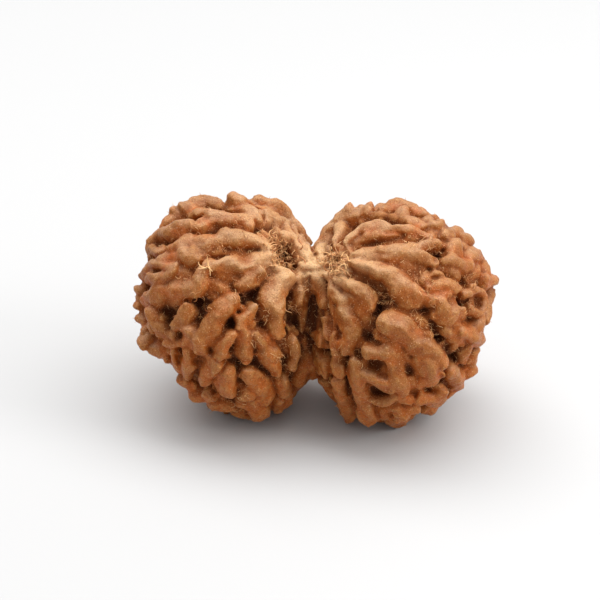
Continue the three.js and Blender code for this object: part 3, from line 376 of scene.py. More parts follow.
def addCrest(stone, points):  # points are (direction, half width, height)
    direction, halfWidth, height = (np.array(values, float) for values in zip(*points))
    at = place(stone, direction, pathLevel)
    start, end = slice(0, max(len(at) - 1, 1)), slice(min(len(at) - 1, 1), None)
    names = np.full(len(at[start]), len(stone["crests"]))
    added = (at[start], at[end], halfWidth[start], halfWidth[end], names)
    stone["crests"].append(dict(direction=direction, halfWidth=halfWidth, height=height))
    stone["segments"] = [np.concatenate(pair) for pair in zip(stone["segments"], added)]


def clearOfRidges(stone, at, halfWidth, parent):
    start, end, startWidth, endWidth, names = stone["segments"]
    span = end - start
    spanSquared = np.maximum((span ** 2).sum(1), 1e-12)
    share = np.clip(((at - start) * span).sum(1) / spanSquared, 0, 1)
    distance = np.linalg.norm(start + span * share[:, None] - at, axis=1)
    between = distance - startWidth - (endWidth - startWidth) * share
    return between[names != parent].min() > halfWidth + growth["gap"]


def mostHeight(stone, direction):  # that a crest may have, so as to clear the surface
    floorLevel = place(stone, direction, 0.0)[2]
    fall = floorLevel - place(stone, direction, 1.0)[2]
    return (floorLevel - growth["clearance"]) / fall if fall > 0 else math.inf


def growRidge(stone, count):
    azimuth = draw(0, 2 * math.pi)
    rise = draw(-1, 1)
    halfWidth = draw(*growth["halfWidth"])
    height = draw(*growth["height"]) * stone["ridgeHeight"]
    sense = -1 if draw() < 0.5 else 1
    branches = draw() < growth["branchShare"]
    stem = int(draw() * len(stone["crests"]))
    joinAt = draw()
    slant = draw(-growth["slant"], growth["slant"])
    turns = [draw(-growth["wander"], growth["wander"]) for _ in range(count)]
    swells = [draw(*growth["swell"]) for _ in range(count)]
    ring = math.sqrt(1 - rise * rise)
    direction = np.array([ring * math.cos(azimuth), ring * math.sin(azimuth), rise])
    parent = None
    if branches:
        parent = stem
        joined = stone["crests"][stem]["direction"]
        direction = joined[int(joinAt * len(joined))]
        slant += math.copysign(growth["branchSlant"], slant)
    points = []
    for i in range(count + branches):
        width = halfWidth * swells[i % count]
        if (stone["turn"] @ direction) @ viewBack > growth["facingLimit"]:
            break
        at = place(stone, direction, pathLevel)
        near = parent if i < 2 else None
        if (i or not branches) and not clearOfRidges(stone, at, width, near):
            break
        points.append((direction, width, min(height, mostHeight(stone, direction))))
        meridian = unit(stone["pole"] - direction * (stone["pole"] @ direction))
        slant += turns[i % count]
        meridian = meridian * math.cos(slant) + np.cross(direction, meridian) * math.sin(slant)
        direction = unit(direction + sense * meridian * growth["step"] / stone["floor"][1])
    if len(points) >= max(count * growth["shortest"], 2 if branches else 1):
        addCrest(stone, points)


for stone in stones:
    for ridge in stone["ridges"]:
        addCrest(stone, [carryToStone(stone, *point) for point in ridge])
    if stone["restRidge"]:
        direction, height = locate(stone, np.array([(x, y, 0.0) for x, y in stone["restRidge"]]))
        width = [form["restHalfWidth"]] * len(direction)
        addCrest(stone, list(zip(direction, width, height + form["wearDepth"])))
    for count, tries in growth["sizes"]:
        for _ in range(tries):
            growRidge(stone, count)
for stone, faces in ((leftStone, leftFaces), (rightStone, rightFaces), (joint, jointFaces)):
    for face in faces:
        addCrest(stone, [carryToStone(stone, *point) for point in face])
print("ridges and faces:", [len(stone["crests"]) for stone in stones])

# Shared tools

def latticeNoise(points, length, number):
    # A hashed value at each corner of a lattice of this length, from -1 to 1, blended smoothly
    # between the eight corners round a point. Each number gives another noise.
    scaled = points / length + number * 17.31
    cell = np.floor(scaled).astype(np.int64)
    part = scaled - cell
    blend = part ** 3 * (part * (part * 6 - 15) + 10)
    total = np.zeros(len(points))
    for corner in range(8):
        step = np.array([corner & 1, corner >> 1 & 1, corner >> 2 & 1])
        key = (cell + step) @ np.array([73856093, 19349663, 83492791]) & 0xffffffff
        key = (key ^ key >> 13) * 1274126177 & 0xffffffff
        key = (key ^ key >> 16) * 668265263 & 0xffffffff
        value = (key >> 8 & 0xffff) / 32767.5 - 1
        total += value * np.prod(np.where(step, blend, 1 - blend), axis=1)
    return total


def layeredNoise(points, length, number):
    # Two layers of lattice noise, the second half as long and half as strong as the first
    first, second = (latticeNoise(points, length / 2 ** k, number + k) / 2 ** k for k in (0, 1))
    return (first + second) / 1.5


def ramp(value, low, high):  # 0 below low, 1 above high, and smooth between them
    share = np.clip((value - low) / (high - low), 0, 1)
    return share * share * (3 - 2 * share)


def gridFaces(rows, columns):  # quads of a grid whose rows close on themselves
    row, column = (a.ravel() for a in np.meshgrid(np.arange(rows - 1), np.arange(columns),
                                                  indexing="ij"))
    after = (column + 1) % columns
    return np.stack([row * columns + column, row * columns + after,
                     (row + 1) * columns + after, (row + 1) * columns + column], axis=1)


def makeMesh(name, points, quads, triangles=()):
    mesh = bpy.data.meshes.new(name)
    points = np.asarray(points, np.float32)
    triangles = np.asarray(triangles, np.int32).reshape(-1, 3)
    corners = np.concatenate([np.asarray(quads, np.int32).ravel(), triangles.ravel()])
    sizes = np.concatenate([np.full(len(quads), 4), np.full(len(triangles), 3)])
    starts = np.concatenate([[0], np.cumsum(sizes)[:-1]])
    mesh.vertices.add(len(points))
    mesh.vertices.foreach_set("co", points.ravel())
    mesh.loops.add(len(corners))
    mesh.loops.foreach_set("vertex_index", corners.astype(np.int32))
    mesh.polygons.add(len(sizes))
    mesh.polygons.foreach_set("loop_start", starts.astype(np.int32))
    mesh.polygons.foreach_set("use_smooth", np.ones(len(sizes), bool))
    mesh.update(calc_edges=True)
    mesh.validate()
    return mesh


def readPoints(mesh, kind="co"):  # the points' places, or what else of them is named
    values = np.empty(len(mesh.vertices) * 3, np.float32)
    mesh.vertices.foreach_get(kind, values)
    return values.reshape(-1, 3).astype(float)


def makeObject(name, data):
    made = bpy.data.objects.new(name, data)
    bpy.context.scene.collection.objects.link(made)
    return made


def applied(piece):  # the piece's mesh with its modifiers worked in
    graph = bpy.context.evaluated_depsgraph_get()
    mesh = bpy.data.meshes.new_from_object(piece.evaluated_get(graph))
    bpy.data.objects.remove(piece)
    return mesh


# The seed's body: a closed grid for each furrow floor and a closed sleeve for each ridge, fused
# into one skin by a remesh, then softened and roughened.

seed = dict(
    pathStep=0.22,  # between the sections along a ridge
    loneHalf=0.02,  # half the length of the path through a lone point
    thinnest=0.12,  # least half width of a ridge
    fuller=0.2,  # by which ridges are wider than drawn, for their rounded edges
    fullerFrom=0.5,  # half width from which they are wider by all of it
    endTurns=(88, 72, 55, 38, 20),  # degrees round a ridge's end, one for each section there
    edgeRound=0.34,  # most that a ridge's edge is rounded by
    edgeLeast=0.1,
    edgePower=3.4,  # 2 rounds the edge as an ellipse, more is squarer
    crownSides=13,  # points over the crown, from side to side
    sideShares=(0.8, 0.55, 0.3, 0.0),  # up the side, from below the crown to the sink
    sideRaise=2.0,  # height over the furrow floor that gives a ridge's way out
    flare=0.5,  # by which a ridge's foot is wider than its shoulder, either side
    flareFrom=0.4,  # half width from which it is wider by all of it
    sink=1.5,  # depth that a ridge reaches below the furrow floor
    lump=0.3,  # share by which a ridge's sides swell and shrink
    lumpLength=1.3,
    rise=0.13,  # share by which its height does
    riseLength=1.5,
    roof=0.45,  # fall from the crest line to a ridge's edges, per half width
    roofMean=0.4,  # share of that by which the line stands over the drawn height
    roofStray=0.55,  # share of the half width by which the line wanders off the middle
    roofLength=1.6,
    floorCells=(90, 150),  # rows and columns of a furrow floor's grid
    floorRise=(0.05, 0.45),  # mean height of a furrow's floor and its roughness
    floorLength=1.3,
    groove=(1.2, 0.55),  # depth and half width of the groove that runs down from the joint
    grooveAside=0.35,
    grooveSpan=(-5.5, -3.5, 0.4, 2.2),  # heights in the drawing where it starts and ends
    grooveFront=(1, 3),  # it begins this far in front of the joint's middle
    warps=[(0.2, 2.1), (0.1, 0.9)],  # how far everything is bent sideways, over what length
    voxel=0.125,
    softening=(0.5, 1),  # its strength and how many times
    puffs=[(0.08, 1.5), (0.035, 0.6)],  # height and length of the skin's round lumps
    puffMean=0.8,
    roughness=(0.045, 0.35),  # height and length of its fine grain
    triangles=190000,
)


def smoothRidge(stone, crest):
    # A Catmull-Rom curve through a ridge's points, with a section at each step, and past both ends
    # the sections of the round that closes it: their centres, tangents, half widths and heights
    at = place(stone, crest["direction"], pathLevel)
    values = np.column_stack([at, crest["halfWidth"], crest["height"]])
    if len(at) == 1:
        aside = unit(np.cross(unit(at[0] - stone["centre"]), [0.3, 0.2, 1.0]))
        values = np.repeat(values, 2, axis=0)
        values[:, :3] += np.outer((-seed["loneHalf"], seed["loneHalf"]), aside)
    padded = np.vstack([2 * values[0] - values[1], values, 2 * values[-1] - values[-2]])
    lengths = np.linalg.norm(np.diff(values[:, :3], axis=0), axis=1)
    stretches = []
    for i, length in enumerate(lengths):
        count = max(int(round(length / seed["pathStep"])), 1)
        t = (np.arange(count + (i == len(lengths) - 1)) / count)[:, None]
        a, b, c, d = padded[i:i + 4]
        stretches.append(0.5 * (2 * b + (c - a) * t + (2 * a - 5 * b + 4 * c - d) * t ** 2
                                + (3 * b - a - 3 * c + d) * t ** 3))
    curve = np.vstack(stretches)
    path, width, height = curve[:, :3], curve[:, 3], curve[:, 4]
    fuller = seed["fuller"] * np.minimum(width / seed["fullerFrom"], 1)
    width = np.maximum(width, seed["thinnest"]) + fuller
    tangent = unit(np.gradient(path, axis=0))
    turn = np.radians(seed["endTurns"])
    ends = []
    for k, sense in ((0, -1), (-1, 1)):
        rounding = min(seed["edgeRound"], width[k])
        out = np.sin(turn) * width[k]
        beyond = np.maximum(out - (width[k] - rounding), 0) / rounding
        drop = rounding * (1 - (1 - beyond ** seed["edgePower"]) ** (1 / seed["edgePower"]))
        ends.append((path[k] + sense * tangent[k] * out[:, None],
                     np.repeat(tangent[k][None], len(turn), axis=0),
                     width[k] * np.cos(turn), height[k] - drop))
    return [np.concatenate([first, middle, last[::-1]])
            for first, middle, last in zip(ends[0], (path, tangent, width, height), ends[1])]


def sleeve(stone, crest):
    # A closed sleeve: at each section, sides that slant out to the foot, under a crown that rounds
    # over as a power curve of the angle from side to side, and falls like a roof from a crest line
    # that wanders.
    path, tangent, width, height = smoothRidge(stone, crest)
    direction, _ = locate(stone, path)
    height = height * (1 + seed["rise"] * latticeNoise(path, seed["riseLength"],
                                                       noiseSeed["rise"]))
    outward = unit(place(stone, direction, seed["sideRaise"]) - place(stone, direction, 0.0))
    across = unit(np.cross(tangent, outward))
    edge = np.minimum(seed["edgeRound"], np.maximum(width, seed["edgeLeast"]))
    crown = np.radians(np.linspace(0, 180, seed["crownSides"]))
    power = 2 / seed["edgePower"]
    crownAside = np.sign(np.cos(crown)) * np.abs(np.cos(crown)) ** power
    crownUp = np.sin(crown) ** power
    share = np.array(seed["sideShares"])
    aside = np.concatenate([crownAside, -np.ones(len(share)), np.ones(len(share))])
    slant = seed["flare"] * np.concatenate([crownAside * 0, share - 1, (1 - share)[::-1]])
    side = (height - edge + seed["sink"])[:, None] * share - seed["sink"]
    line = seed["roofStray"] * latticeNoise(path, seed["roofLength"], noiseSeed["roof"])[:, None]
    fall = seed["roof"] * width[:, None] * (np.abs(crownAside - line) - seed["roofMean"])
    up = np.hstack([(height - edge)[:, None] + edge[:, None] * crownUp - fall,
                    side, side[:, ::-1]])
    swell = [1 + seed["lump"] * latticeNoise(path + sense * across * width[:, None],
                                             seed["lumpLength"], noiseSeed["lump"])[:, None]
             for sense in (-1, 1)]
    spread = np.where(aside < 0, *swell) * aside * width[:, None]
    spread = spread + slant * np.minimum(width / seed["flareFrom"], 1)[:, None]
    columns = len(aside)
    points = place(stone, np.repeat(direction, columns, axis=0), up.ravel())
    points += (across[:, None] * spread[..., None]).reshape(-1, 3)
    ring = np.arange(columns)
    fans = [np.column_stack([np.full(columns - 2, cap[0]), cap[1:-1], cap[2:]])
            for cap in (ring[::-1], (len(path) - 1) * columns + ring)]
    return points, gridFaces(len(path), columns), np.vstack(fans)


def floorGrid(stone):
    # A furrow floor: directions on a grid of polar angle and turn, at a height that noise gives,
    # closed by a point at each pole.
    rows, columns = seed["floorCells"]
    polar = np.linspace(0, math.pi, rows + 2)[1:-1]
    turn = np.linspace(0, 2 * math.pi, columns, endpoint=False)
    polar, turn = (a.ravel() for a in np.meshgrid(polar, turn, indexing="ij"))
    direction = np.column_stack([np.sin(polar) * np.cos(turn), np.sin(polar) * np.sin(turn),
                                 np.cos(polar)])
    direction = np.vstack([direction, [(0, 0, 1), (0, 0, -1)]])
    mean, rough = seed["floorRise"]
    noise = layeredNoise(place(stone, direction, 0.0), seed["floorLength"], noiseSeed["floor"])
    points = place(stone, direction, mean + rough * noise)
    ring = np.arange(columns)
    after = (ring + 1) % columns
    last = (rows - 1) * columns
    top, bottom = (np.full(columns, len(points) - back) for back in (2, 1))
    fans = np.vstack([np.column_stack([after, top, ring]),
                      np.column_stack([last + ring, bottom, last + after])])
    return points, gridFaces(rows, columns)[:, ::-1], fans


# Hollows between the ridges, each a short line as the viewer sees it, pressed in along the sight
# line by a bell curve: [right, up, right, up, half width, depth].

hollows = [
  # left stone
  [-5.9,2.1,-6.3,1,.52,.6], [-11.1,.9,-10.9,.6,.6,.3], [-8.2,-1,-8,-1.5,.4,.7],
  [-10.4,-4,-10.2,-4.3,.4,.7], [-8.2,-5,-6.1,-5.4,.4,.7], [-5.4,-1.6,-5.2,-2.1,.4,.3],
  [-2.4,-.7,-2.2,-1.4,.34,.7], [-14.7,.2,-14,-.6,.57,.45], [-8.8,6,-5.6,5.9,.32,.5],
  [-11.5,8.9,-10.7,9.2,.29,.4], [-7.8,2.1,-5.2,3,.8,.3], [-5.3,-5.8,-3.9,-6.5,.3,.6],
  [-2.8,-4.7,-3.2,-5.9,.3,.5], [-11.4,-4.6,-11.8,-5.3,.35,.5], [-13.6,-4.8,-13.5,-5.3,.3,.5],
  [-7.7,-8.2,-7.6,-8.5,.4,.6], [-9.7,-8.9,-9.2,-9.2,.35,.5], [-12.2,-6.8,-11.5,-7.2,.3,.5],
  [-3.9,-7.2,-3.6,-8.9,.28,.6], [-7.6,-5.7,-7.4,-7,.35,.5], [-9.6,-7.6,-9.9,-8.2,.3,.5],
  # stem pits and notch
  [2,4.4,2.6,4.9,.55,.8], [.25,5.45,.25,5.4,.25,.8], [-3.5,6.2,-2.8,5,.6,.6], [0,6.5,0,6.2,.2,.5],
  # right stone, upper half
  [5,6.4,9,7.2,.32,.5], [12.3,5.1,12.3,5,.4,.6], [13,5.9,13.1,5.8,.34,.5], [11.5,4,11.6,3.9,.34,.5],
  [6.7,.1,7.1,.3,.52,.9], [11.1,.3,11.1,.2,.4,.7],
  # right stone, lower half
  [5.3,-2.5,5.5,-2.7,.52,.8], [4.4,-4.3,4.6,-4.6,.4,.7], [5.9,-5.3,6.5,-5.5,.46,.7],
  [2.6,-2.4,2.6,-2.8,.34,.6], [9.7,-6,9.7,-6.2,.52,.8], [12,-2,12.6,-3,.4,.7], [13.2,-3.7,13.9,-5,.46,.7],
  [15.4,-1,15.5,-1.1,.4,.6], [12.7,-6.8,12.8,-6.9,.4,.6], [13.6,-7.8,13.7,-7.8,.34,.5],
  [10,-8.3,10.1,-8.3,.4,.6], [6.5,-8.2,7.3,-8.2,.46,.7], [3.9,-9.6,4,-10.4,.3,.6],
  [6.3,-10.3,6.6,-10.8,.35,.6], [3.4,-5.6,3.6,-8.4,.26,.6], [12.3,-8.2,11.4,-8.1,.3,.5],
]

# Round patches as the viewer sees them, [right, up, radius]: strips bleached pale, broad faces
# painted darker as shade, and knobs given a painted orange glow.

creams = [
  [-3.4,8,1.7], [-2.2,6.9,1.2], [.9,6.6,1.2], [-1.6,3.6,1], [2.4,3.4,1.4], [-5,5.4,1.2], [5.2,4.9,1.3],
  [-3,2.8,1],
]
paintedShadePatches = [
  [-7.4,3.5,1.5], [-6,3.8,1.2], [8.8,-2.4,1.6], [10.4,-3.8,1.6], [-9.6,-1.4,1.3], [14.6,4.4,1.2],
  [9.8,4.7,1], [-8.6,8.2,1.2],
]
glows = [
  [-6.7,-.8,.9], [-8.8,-3.6,1], [-4.1,-5.3,1.2], [-9,.2,.9], [4.3,-8.9,1.4], [7.6,-5.2,.8], [2.9,-3.4,.8],
  [-5,-8,1.2],
]


def asSeen(points):  # their places in the drawing, and 1 on the front half, 0 on the back half
    offset = points - jointCentre
    near = offset @ viewBack
    larger = form["viewDistance"] / (form["viewDistance"] - near)
    seen = np.column_stack([offset @ viewRight, offset @ viewUp]) * larger[:, None]
    return seen, ramp(near, *form["frontFrom"])


def patches(seen, spots):
    # 1 inside the round patches and 0 outside: exp(-(distance / radius) ** 4)
    reach = [np.hypot(seen[:, 0] - right, seen[:, 1] - up) / radius for right, up, radius in spots]
    return np.exp(-np.min(reach, axis=0) ** 4)


def hollowDepth(points):
    # How far points are pressed in: depth * exp(-(distance / half width) ** 2), with the distance
    # from the hollow's line in the drawing
    seen, front = asSeen(points)
    push = np.zeros(len(points))
    for rightA, upA, rightB, upB, halfWidth, depth in hollows:
        start, line = np.array([rightA, upA]), np.array([rightB - rightA, upB - upA])
        along = np.clip((seen - start) @ line / (line @ line + 1e-9), 0, 1)
        distance = np.linalg.norm(seen - start - along[:, None] * line, axis=1)
        push = np.maximum(push, depth * np.exp(-(distance / halfWidth) ** 2))
    return push * front


nubs = dict(
    seed=7,
    open=900,  # tries for a low nub on open floor
    openWidth=(0.25, 0.5),
    openHeight=(0.45, 1.1),
    openGap=0.6,  # left to the next ridge, as a share of the nub's width
    side=700,  # nubs on the side of a ridge
    sideWidth=(0.22, 0.4),
    sideHeight=(0.45, 0.85),  # as a share of the ridge's height
    sideOut=0.4,  # share of its width by which a nub stands out of the side
)


def makeNubs(stone, rng):
    # Small knobs: low ones spread over the open floor, and others that lean on a ridge's side
    found = []
    for _ in range(nubs["open"]):
        direction = unit(rng.normal(size=3))
        width = rng.uniform(*nubs["openWidth"])
        height = rng.uniform(*nubs["openHeight"]) * stone["ridgeHeight"] / form["furrowDepth"]
        start, _, startWidth, _, _ = stone["segments"]
        apart = np.linalg.norm(start - place(stone, direction, pathLevel), axis=1) - startWidth
        if np.min(apart) > width * nubs["openGap"]:
            found.append((direction, width, height))
    for _ in range(nubs["side"]):
        crest = stone["crests"][rng.integers(len(stone["crests"]))]
        k = rng.integers(len(crest["direction"]))
        width = rng.uniform(*nubs["sideWidth"])
        height = crest["height"][k] * rng.uniform(*nubs["sideHeight"])
        aside = unit(np.cross(crest["direction"][k], rng.normal(size=3)))
        shift = (crest["halfWidth"][k] + width * nubs["sideOut"]) / stone["floor"][1]
        found.append((unit(crest["direction"][k] + aside * shift), width, height))
    return [dict(direction=direction[None], halfWidth=np.array([width]), height=np.array([height]))
            for direction, width, height in found]


def makeSeedMesh():
    points, quads, triangles = [], [], []
    count = 0
    rng = np.random.default_rng(nubs["seed"])
    for stone in stones:
        shells = [floorGrid(stone)] + [sleeve(stone, crest) for crest in stone["crests"]]
        shells += [sleeve(stone, nub) for nub in makeNubs(stone, rng)]
        for shellPoints, shellQuads, shellTriangles in shells:
            points.append(shellPoints)
            quads.append(shellQuads + count)
            triangles.append(shellTriangles + count)
            count += len(shellPoints)
    points = np.vstack(points)
    for reach, length in seed["warps"]:
        bend = [latticeNoise(points, length, noiseSeed["warp"] + axis) for axis in range(3)]
        points += reach * np.column_stack(bend)
    # The groove presses everything in by a bell curve of x, in front and below the joint
    depth, wide = seed["groove"]
    rise = (points - jointCentre) @ viewUp
    lowest, low, high, highest = seed["grooveSpan"]
    span = ramp(rise, lowest, low) * (1 - ramp(rise, high, highest))
    span = span * ramp(-points[:, 1], *seed["grooveFront"])
    points[:, 1] += depth * span * np.exp(-((points[:, 0] - seed["grooveAside"]) / wide) ** 2)
    points[:, 2] = np.maximum(points[:, 2], 0)
    draft = makeMesh("seedDraft", points, np.vstack(quads), np.vstack(triangles))
    piece = makeObject("seedDraft", draft)
    remesh = piece.modifiers.new("fuse", "REMESH")
    remesh.mode = "VOXEL"
    remesh.voxel_size = seed["voxel"]
    soften = piece.modifiers.new("soften", "SMOOTH")
    soften.factor, soften.iterations = seed["softening"]
    mesh = applied(piece)
    print("fused skin:", len(mesh.vertices), "points")
    at = readPoints(mesh)
    at -= viewBack * hollowDepth(at)[:, None]
    normal = readPoints(mesh, "normal")
    # Rough by noise, and round lumps by twice the size of noise, less its mean
    height, length = seed["roughness"]
    push = height * latticeNoise(at, length, noiseSeed["roughness"])
    for height, length in seed["puffs"]:
        lumps = 2 * np.abs(latticeNoise(at, length, noiseSeed["puff"]))
        push += height * (lumps - seed["puffMean"])
    at += normal * push[:, None]
    at[:, 2] = np.maximum(at[:, 2], 0)
    mesh.vertices.foreach_set("co", at.astype(np.float32).ravel())
    mesh.update()
    piece = makeObject("seedDraft", mesh)
    thin = piece.modifiers.new("thin", "DECIMATE")
    mesh.calc_loop_triangles()
    thin.ratio = min(seed["triangles"] / len(mesh.loop_triangles), 1)
    return applied(piece)


def addValues(mesh, **named):
    for name, values in named.items():
        mesh.attributes.new(name, "FLOAT", "POINT").data.foreach_set("value", np.float32(values))


# What the finish reads at each point, from 0 to 1. Each pair is where a measure begins to count
# and where it counts in full.

marks = dict(
    keep=0.3,  # of a point's own place in each round of averaging
    fineRounds=6, broadRounds=30,
    edge=[(0.01, 0.09), (0.0, 0.3)],  # how far fine and broad bulges stand out
    edgeShares=(0.6, 0.4),
    # Hollows are painted darker with the shade colour
    hollow=[(0.01, 0.1), (0.0, 0.35)],  # how far fine and broad hollows lie in
    hollowShares=(0.5, 0.5),
    pressed=(0.1, 0.8),  # depth of a pressed hollow
    pressedShare=0.5,
    shadeShare=0.7,  # of a shaded patch, against a pressed hollow
    # Pale dust and painted top light on what faces up
    dustAndTopLightUpward=(0.3, 1.0),  # how far the skin faces up
    dustAndTopLightRelief=(0.55, 0.95),
    knotWay=(0, -0.35, 0.9),  # outward from the joint's middle, where its crests meet
    pithShare=0.75,  # pale round the stem pits and the knot, within this radius
    pithRadius=1.8,
    pithRelief=(0.25, 0.75),
    rubbedShare=0.6,  # pale crests over a wider ring
    rubbedRadius=6.5,
    rubbedRelief=(0.75, 1.05),
    rubbedUpward=(0.1, 0.8),
    creamShare=0.5,
    creamRelief=(0.3, 0.8),
    palePressed=0.8,  # of its paleness that a pressed hollow loses, as painted shade
    paintedGlowAndShadeLength=2.5,  # of the patches that the painted orange glow and shade lies in
    paintedGlowAndShadeWander=8,  # by which its upper edge rises and falls
    paintedGlowAndShadeBelow=(-15, -5),  # heights, counted down, where it fades in
    paintedGlowAndShadeShare=0.95,
    flankShare=0.55,  # painted orange glow and shade on upright faces
    flankUpward=(0.05, 0.8),
    flankPatch=(-0.8, 0.3),
    underShare=0.8,  # and on faces that look down
    underUpward=(-0.5, 0.2),
    paintedGlowAndShadeRelief=(0.3, 0.7),
)


def bulge(mesh, at, normal, rounds):
    # How far each point stands out from the mean of its neighbours, averaged over a number of
    # rounds: above 0 on edges and knobs, below 0 in hollows.
    ends = np.empty(len(mesh.edges) * 2, np.int32)
    mesh.edges.foreach_get("vertices", ends)
    a, b = ends.reshape(-1, 2).T
    degree = np.bincount(ends, minlength=len(at))[:, None]
    mean = at
    for _ in range(rounds):
        total = [np.bincount(a, mean[b, i], len(at)) + np.bincount(b, mean[a, i], len(at))
                 for i in range(3)]
        mean = marks["keep"] * mean + (1 - marks["keep"]) * np.stack(total, axis=1) / degree
    return ((at - mean) * normal).sum(1)


def measureSeed(mesh):
    # Relief is the height over the nearest furrow floor as a share of the ridge height, edge and
    # hollow are how sharply a point stands out or lies in, with the pressed hollows and the shaded
    # patches added to the hollow as painted shade, what faces up gets dust and painted top light,
    # pale is nearness to the stem pits and the joint, and the creamy strips, and the low half,
    # upright and downward faces and some knobs get a painted orange glow and shade.
    at, normal = readPoints(mesh), readPoints(mesh, "normal")
    upward = normal[:, 2]
    relief = np.min([locate(stone, at)[1] / stone["ridgeHeight"] for stone in stones], axis=0)
    fine, broad = (bulge(mesh, at, normal, marks[name]) for name in ("fineRounds", "broadRounds"))
    seen, front = asSeen(at)
    pressed = ramp(hollowDepth(at), *marks["pressed"])

    def over(value, name):
        return ramp(value, *marks[name])

    def sharp(sense, name):
        a, b = (ramp(sense * value, *span) * share for value, span, share
                in zip((fine, broad), marks[name], marks[name + "Shares"]))
        return a + b

    # Painted shade: pressed hollows, and broad faces painted darker as the viewer sees them
    shaded = np.maximum(pressed, marks["shadeShare"] * front * patches(seen, paintedShadePatches))
    pits = [place(stone, stone["pole"], 1.0) for stone in (leftStone, rightStone)]
    pits.append(place(joint, unit(np.array(marks["knotWay"])), 1.0))
    away = np.min([np.linalg.norm(at - pit, axis=1) for pit in pits], axis=0)
    pith, rubbed = (marks[name + "Share"] * np.exp(-(away / marks[name + "Radius"]) ** 2)
                    * over(relief, name + "Relief") for name in ("pith", "rubbed"))
    bleached = marks["creamShare"] * front * patches(seen, creams) * over(relief, "creamRelief")
    pale = np.maximum(pith + rubbed * over(upward, "rubbedUpward"), bleached)
    # Painted orange glow and shade: in the low half, on upright faces and on faces that look down, and on
    # the glowing knobs
    patch = layeredNoise(at, marks["paintedGlowAndShadeLength"], noiseSeed["ripe"])
    low = marks["paintedGlowAndShadeShare"] * over(-at[:, 2] + marks["paintedGlowAndShadeWander"] * patch, "paintedGlowAndShadeBelow")
    flank = marks["flankShare"] * (1 - over(upward, "flankUpward")) * over(patch, "flankPatch")
    under = marks["underShare"] * (1 - over(upward, "underUpward"))
    ripe = np.max([low, flank, patches(seen, glows), under], axis=0)
    addValues(mesh, relief=relief, edge=sharp(1, "edge"),
              hollow=np.maximum(sharp(-1, "hollow"), marks["pressedShare"] * shaded),
              bloom=over(upward, "dustAndTopLightUpward") * over(relief, "dustAndTopLightRelief"),
              pale=pale * (1 - marks["palePressed"] * pressed),
              ripe=ripe * over(relief, "paintedGlowAndShadeRelief"))


seedMesh = makeSeedMesh()
measureSeed(seedMesh)
seedMesh.transform(Matrix.Scale(millimetre, 4))
seedMesh.shade_smooth()
seedPiece = makeObject("seedSkin", seedMesh)
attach(seedPiece, "root")
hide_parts("twin_seed")
print("seed skin:", len(seedMesh.vertices), "points", len(seedMesh.polygons), "faces")


# Fibres of the dried fruit that cling to the stone: curls packed into the stem pits, tufts where
# the photograph shows them, and short lint along the furrows.

def hairs(paths, radius, tone):
    # Thin tubes with three sides: each path, a row of points, carries a triangle square to it
    # that narrows to the tip. Gives points, quads and the tone of each point.
    count, sections, _ = paths.shape
    tangent = unit(np.gradient(paths, axis=1))
    aside = unit(np.cross(tangent, unit(np.array(fibres["crossing"]))))
    upward = np.cross(tangent, aside)
    taper = radius[:, None] * np.linspace(1, fibres["tip"], sections)
    turn = np.radians([0, 120, 240])
    points = paths[:, :, None] + taper[:, :, None, None] * (
        aside[:, :, None] * np.cos(turn)[:, None] + upward[:, :, None] * np.sin(turn)[:, None])
    quads = gridFaces(sections, 3)
    quads = quads[None] + (np.arange(count) * sections * 3)[:, None, None]
    return points.reshape(-1, 3), quads.reshape(-1, 4), np.repeat(tone, sections * 3)


def curlPaths(base, start, axis, length, turn, sections):
    # Each path sets off along its start and turns round its axis by an equal angle at each step,
    # so it curls up; its points are the running sum of the steps.
    share = (np.arange(sections) / (sections - 1))[None, :, None]
    angle = turn[:, None, None] * share
    heading = start[:, None] * np.cos(angle) + np.cross(axis, start)[:, None] * np.sin(angle)
    heading += axis[:, None] * (axis * start).sum(1)[:, None, None] * (1 - np.cos(angle))
    steps = heading * (length / (sections - 1))[:, None, None]
    return base[:, None] + np.cumsum(steps, axis=1) - steps[:, :1]


skinAt = readPoints(seedMesh) / millimetre
skinNormal = readPoints(seedMesh, "normal")
skinTree = BVHTree.FromPolygons([tuple(point) for point in skinAt],
                                [tuple(face.vertices) for face in seedMesh.polygons])
skinRelief = np.empty(len(skinAt), np.float32)
seedMesh.attributes["relief"].data.foreach_get("value", skinRelief)


def onSkin(right, up, spread, rng):
    # Where the viewer's sight line through a point of the drawing, or near it by a normal draw of
    # this spread, meets the skin, or where it misses, the skin's nearest point to the drawing's
    target, way = sightThrough(right + rng.normal() * spread, up + rng.normal() * spread)
    hit, facing, _, _ = skinTree.ray_cast(Vector(viewerEye), Vector(way))
    if hit is None:
        hit, facing, _, _ = skinTree.find_nearest(Vector(target))
    return np.array(hit), np.array(facing)


fibres = dict(
    seed=23,
    lintCount=5200,
    lintLength=(0.15, 0.6),
    lintRadius=(0.018, 0.04),
    lintTurn=(0.6, 3.2),  # radians that a hair curls through
    lintLift=(0.15, 0.9),  # how far it stands off the skin
    lintFrom=(0.1, 0.4),  # relief where lint begins, and where it thins out
    lintTo=(0.6, 0.95),
    lintOnCrests=1.15,  # 1 more than the chance that is left on them
    lintPatch=3.0,  # size of the patches that it lies in
    lintPatchSpan=(-0.5, 0.5),
    lintBare=0.25,  # chance that is left between them
    clumpTurn=(1.5, 4.5),
    clumpRadius=(0.028, 0.055),
    clumpLength=(0.375, 0.8625),
    clumpTone=(0.3, 1),
    tonePower=(2, 1.5),  # of lint and clumps: above 1, more hairs are dark
    sections=6, bundleSections=12,
    rooted=0.05,  # depth in the skin that a hair starts from
    tip=0.45,  # of its radius that a hair has left at its tip
    crossing=(0.31, 0.57, 0.76),  # way that no hair runs, to lay its sides out from
    aboveFloor=0.01,
)

# Thick curls: a nest in each stem pit, and tufts that stand on the left stone. Each sits round a
# point of the drawing, [right, up].

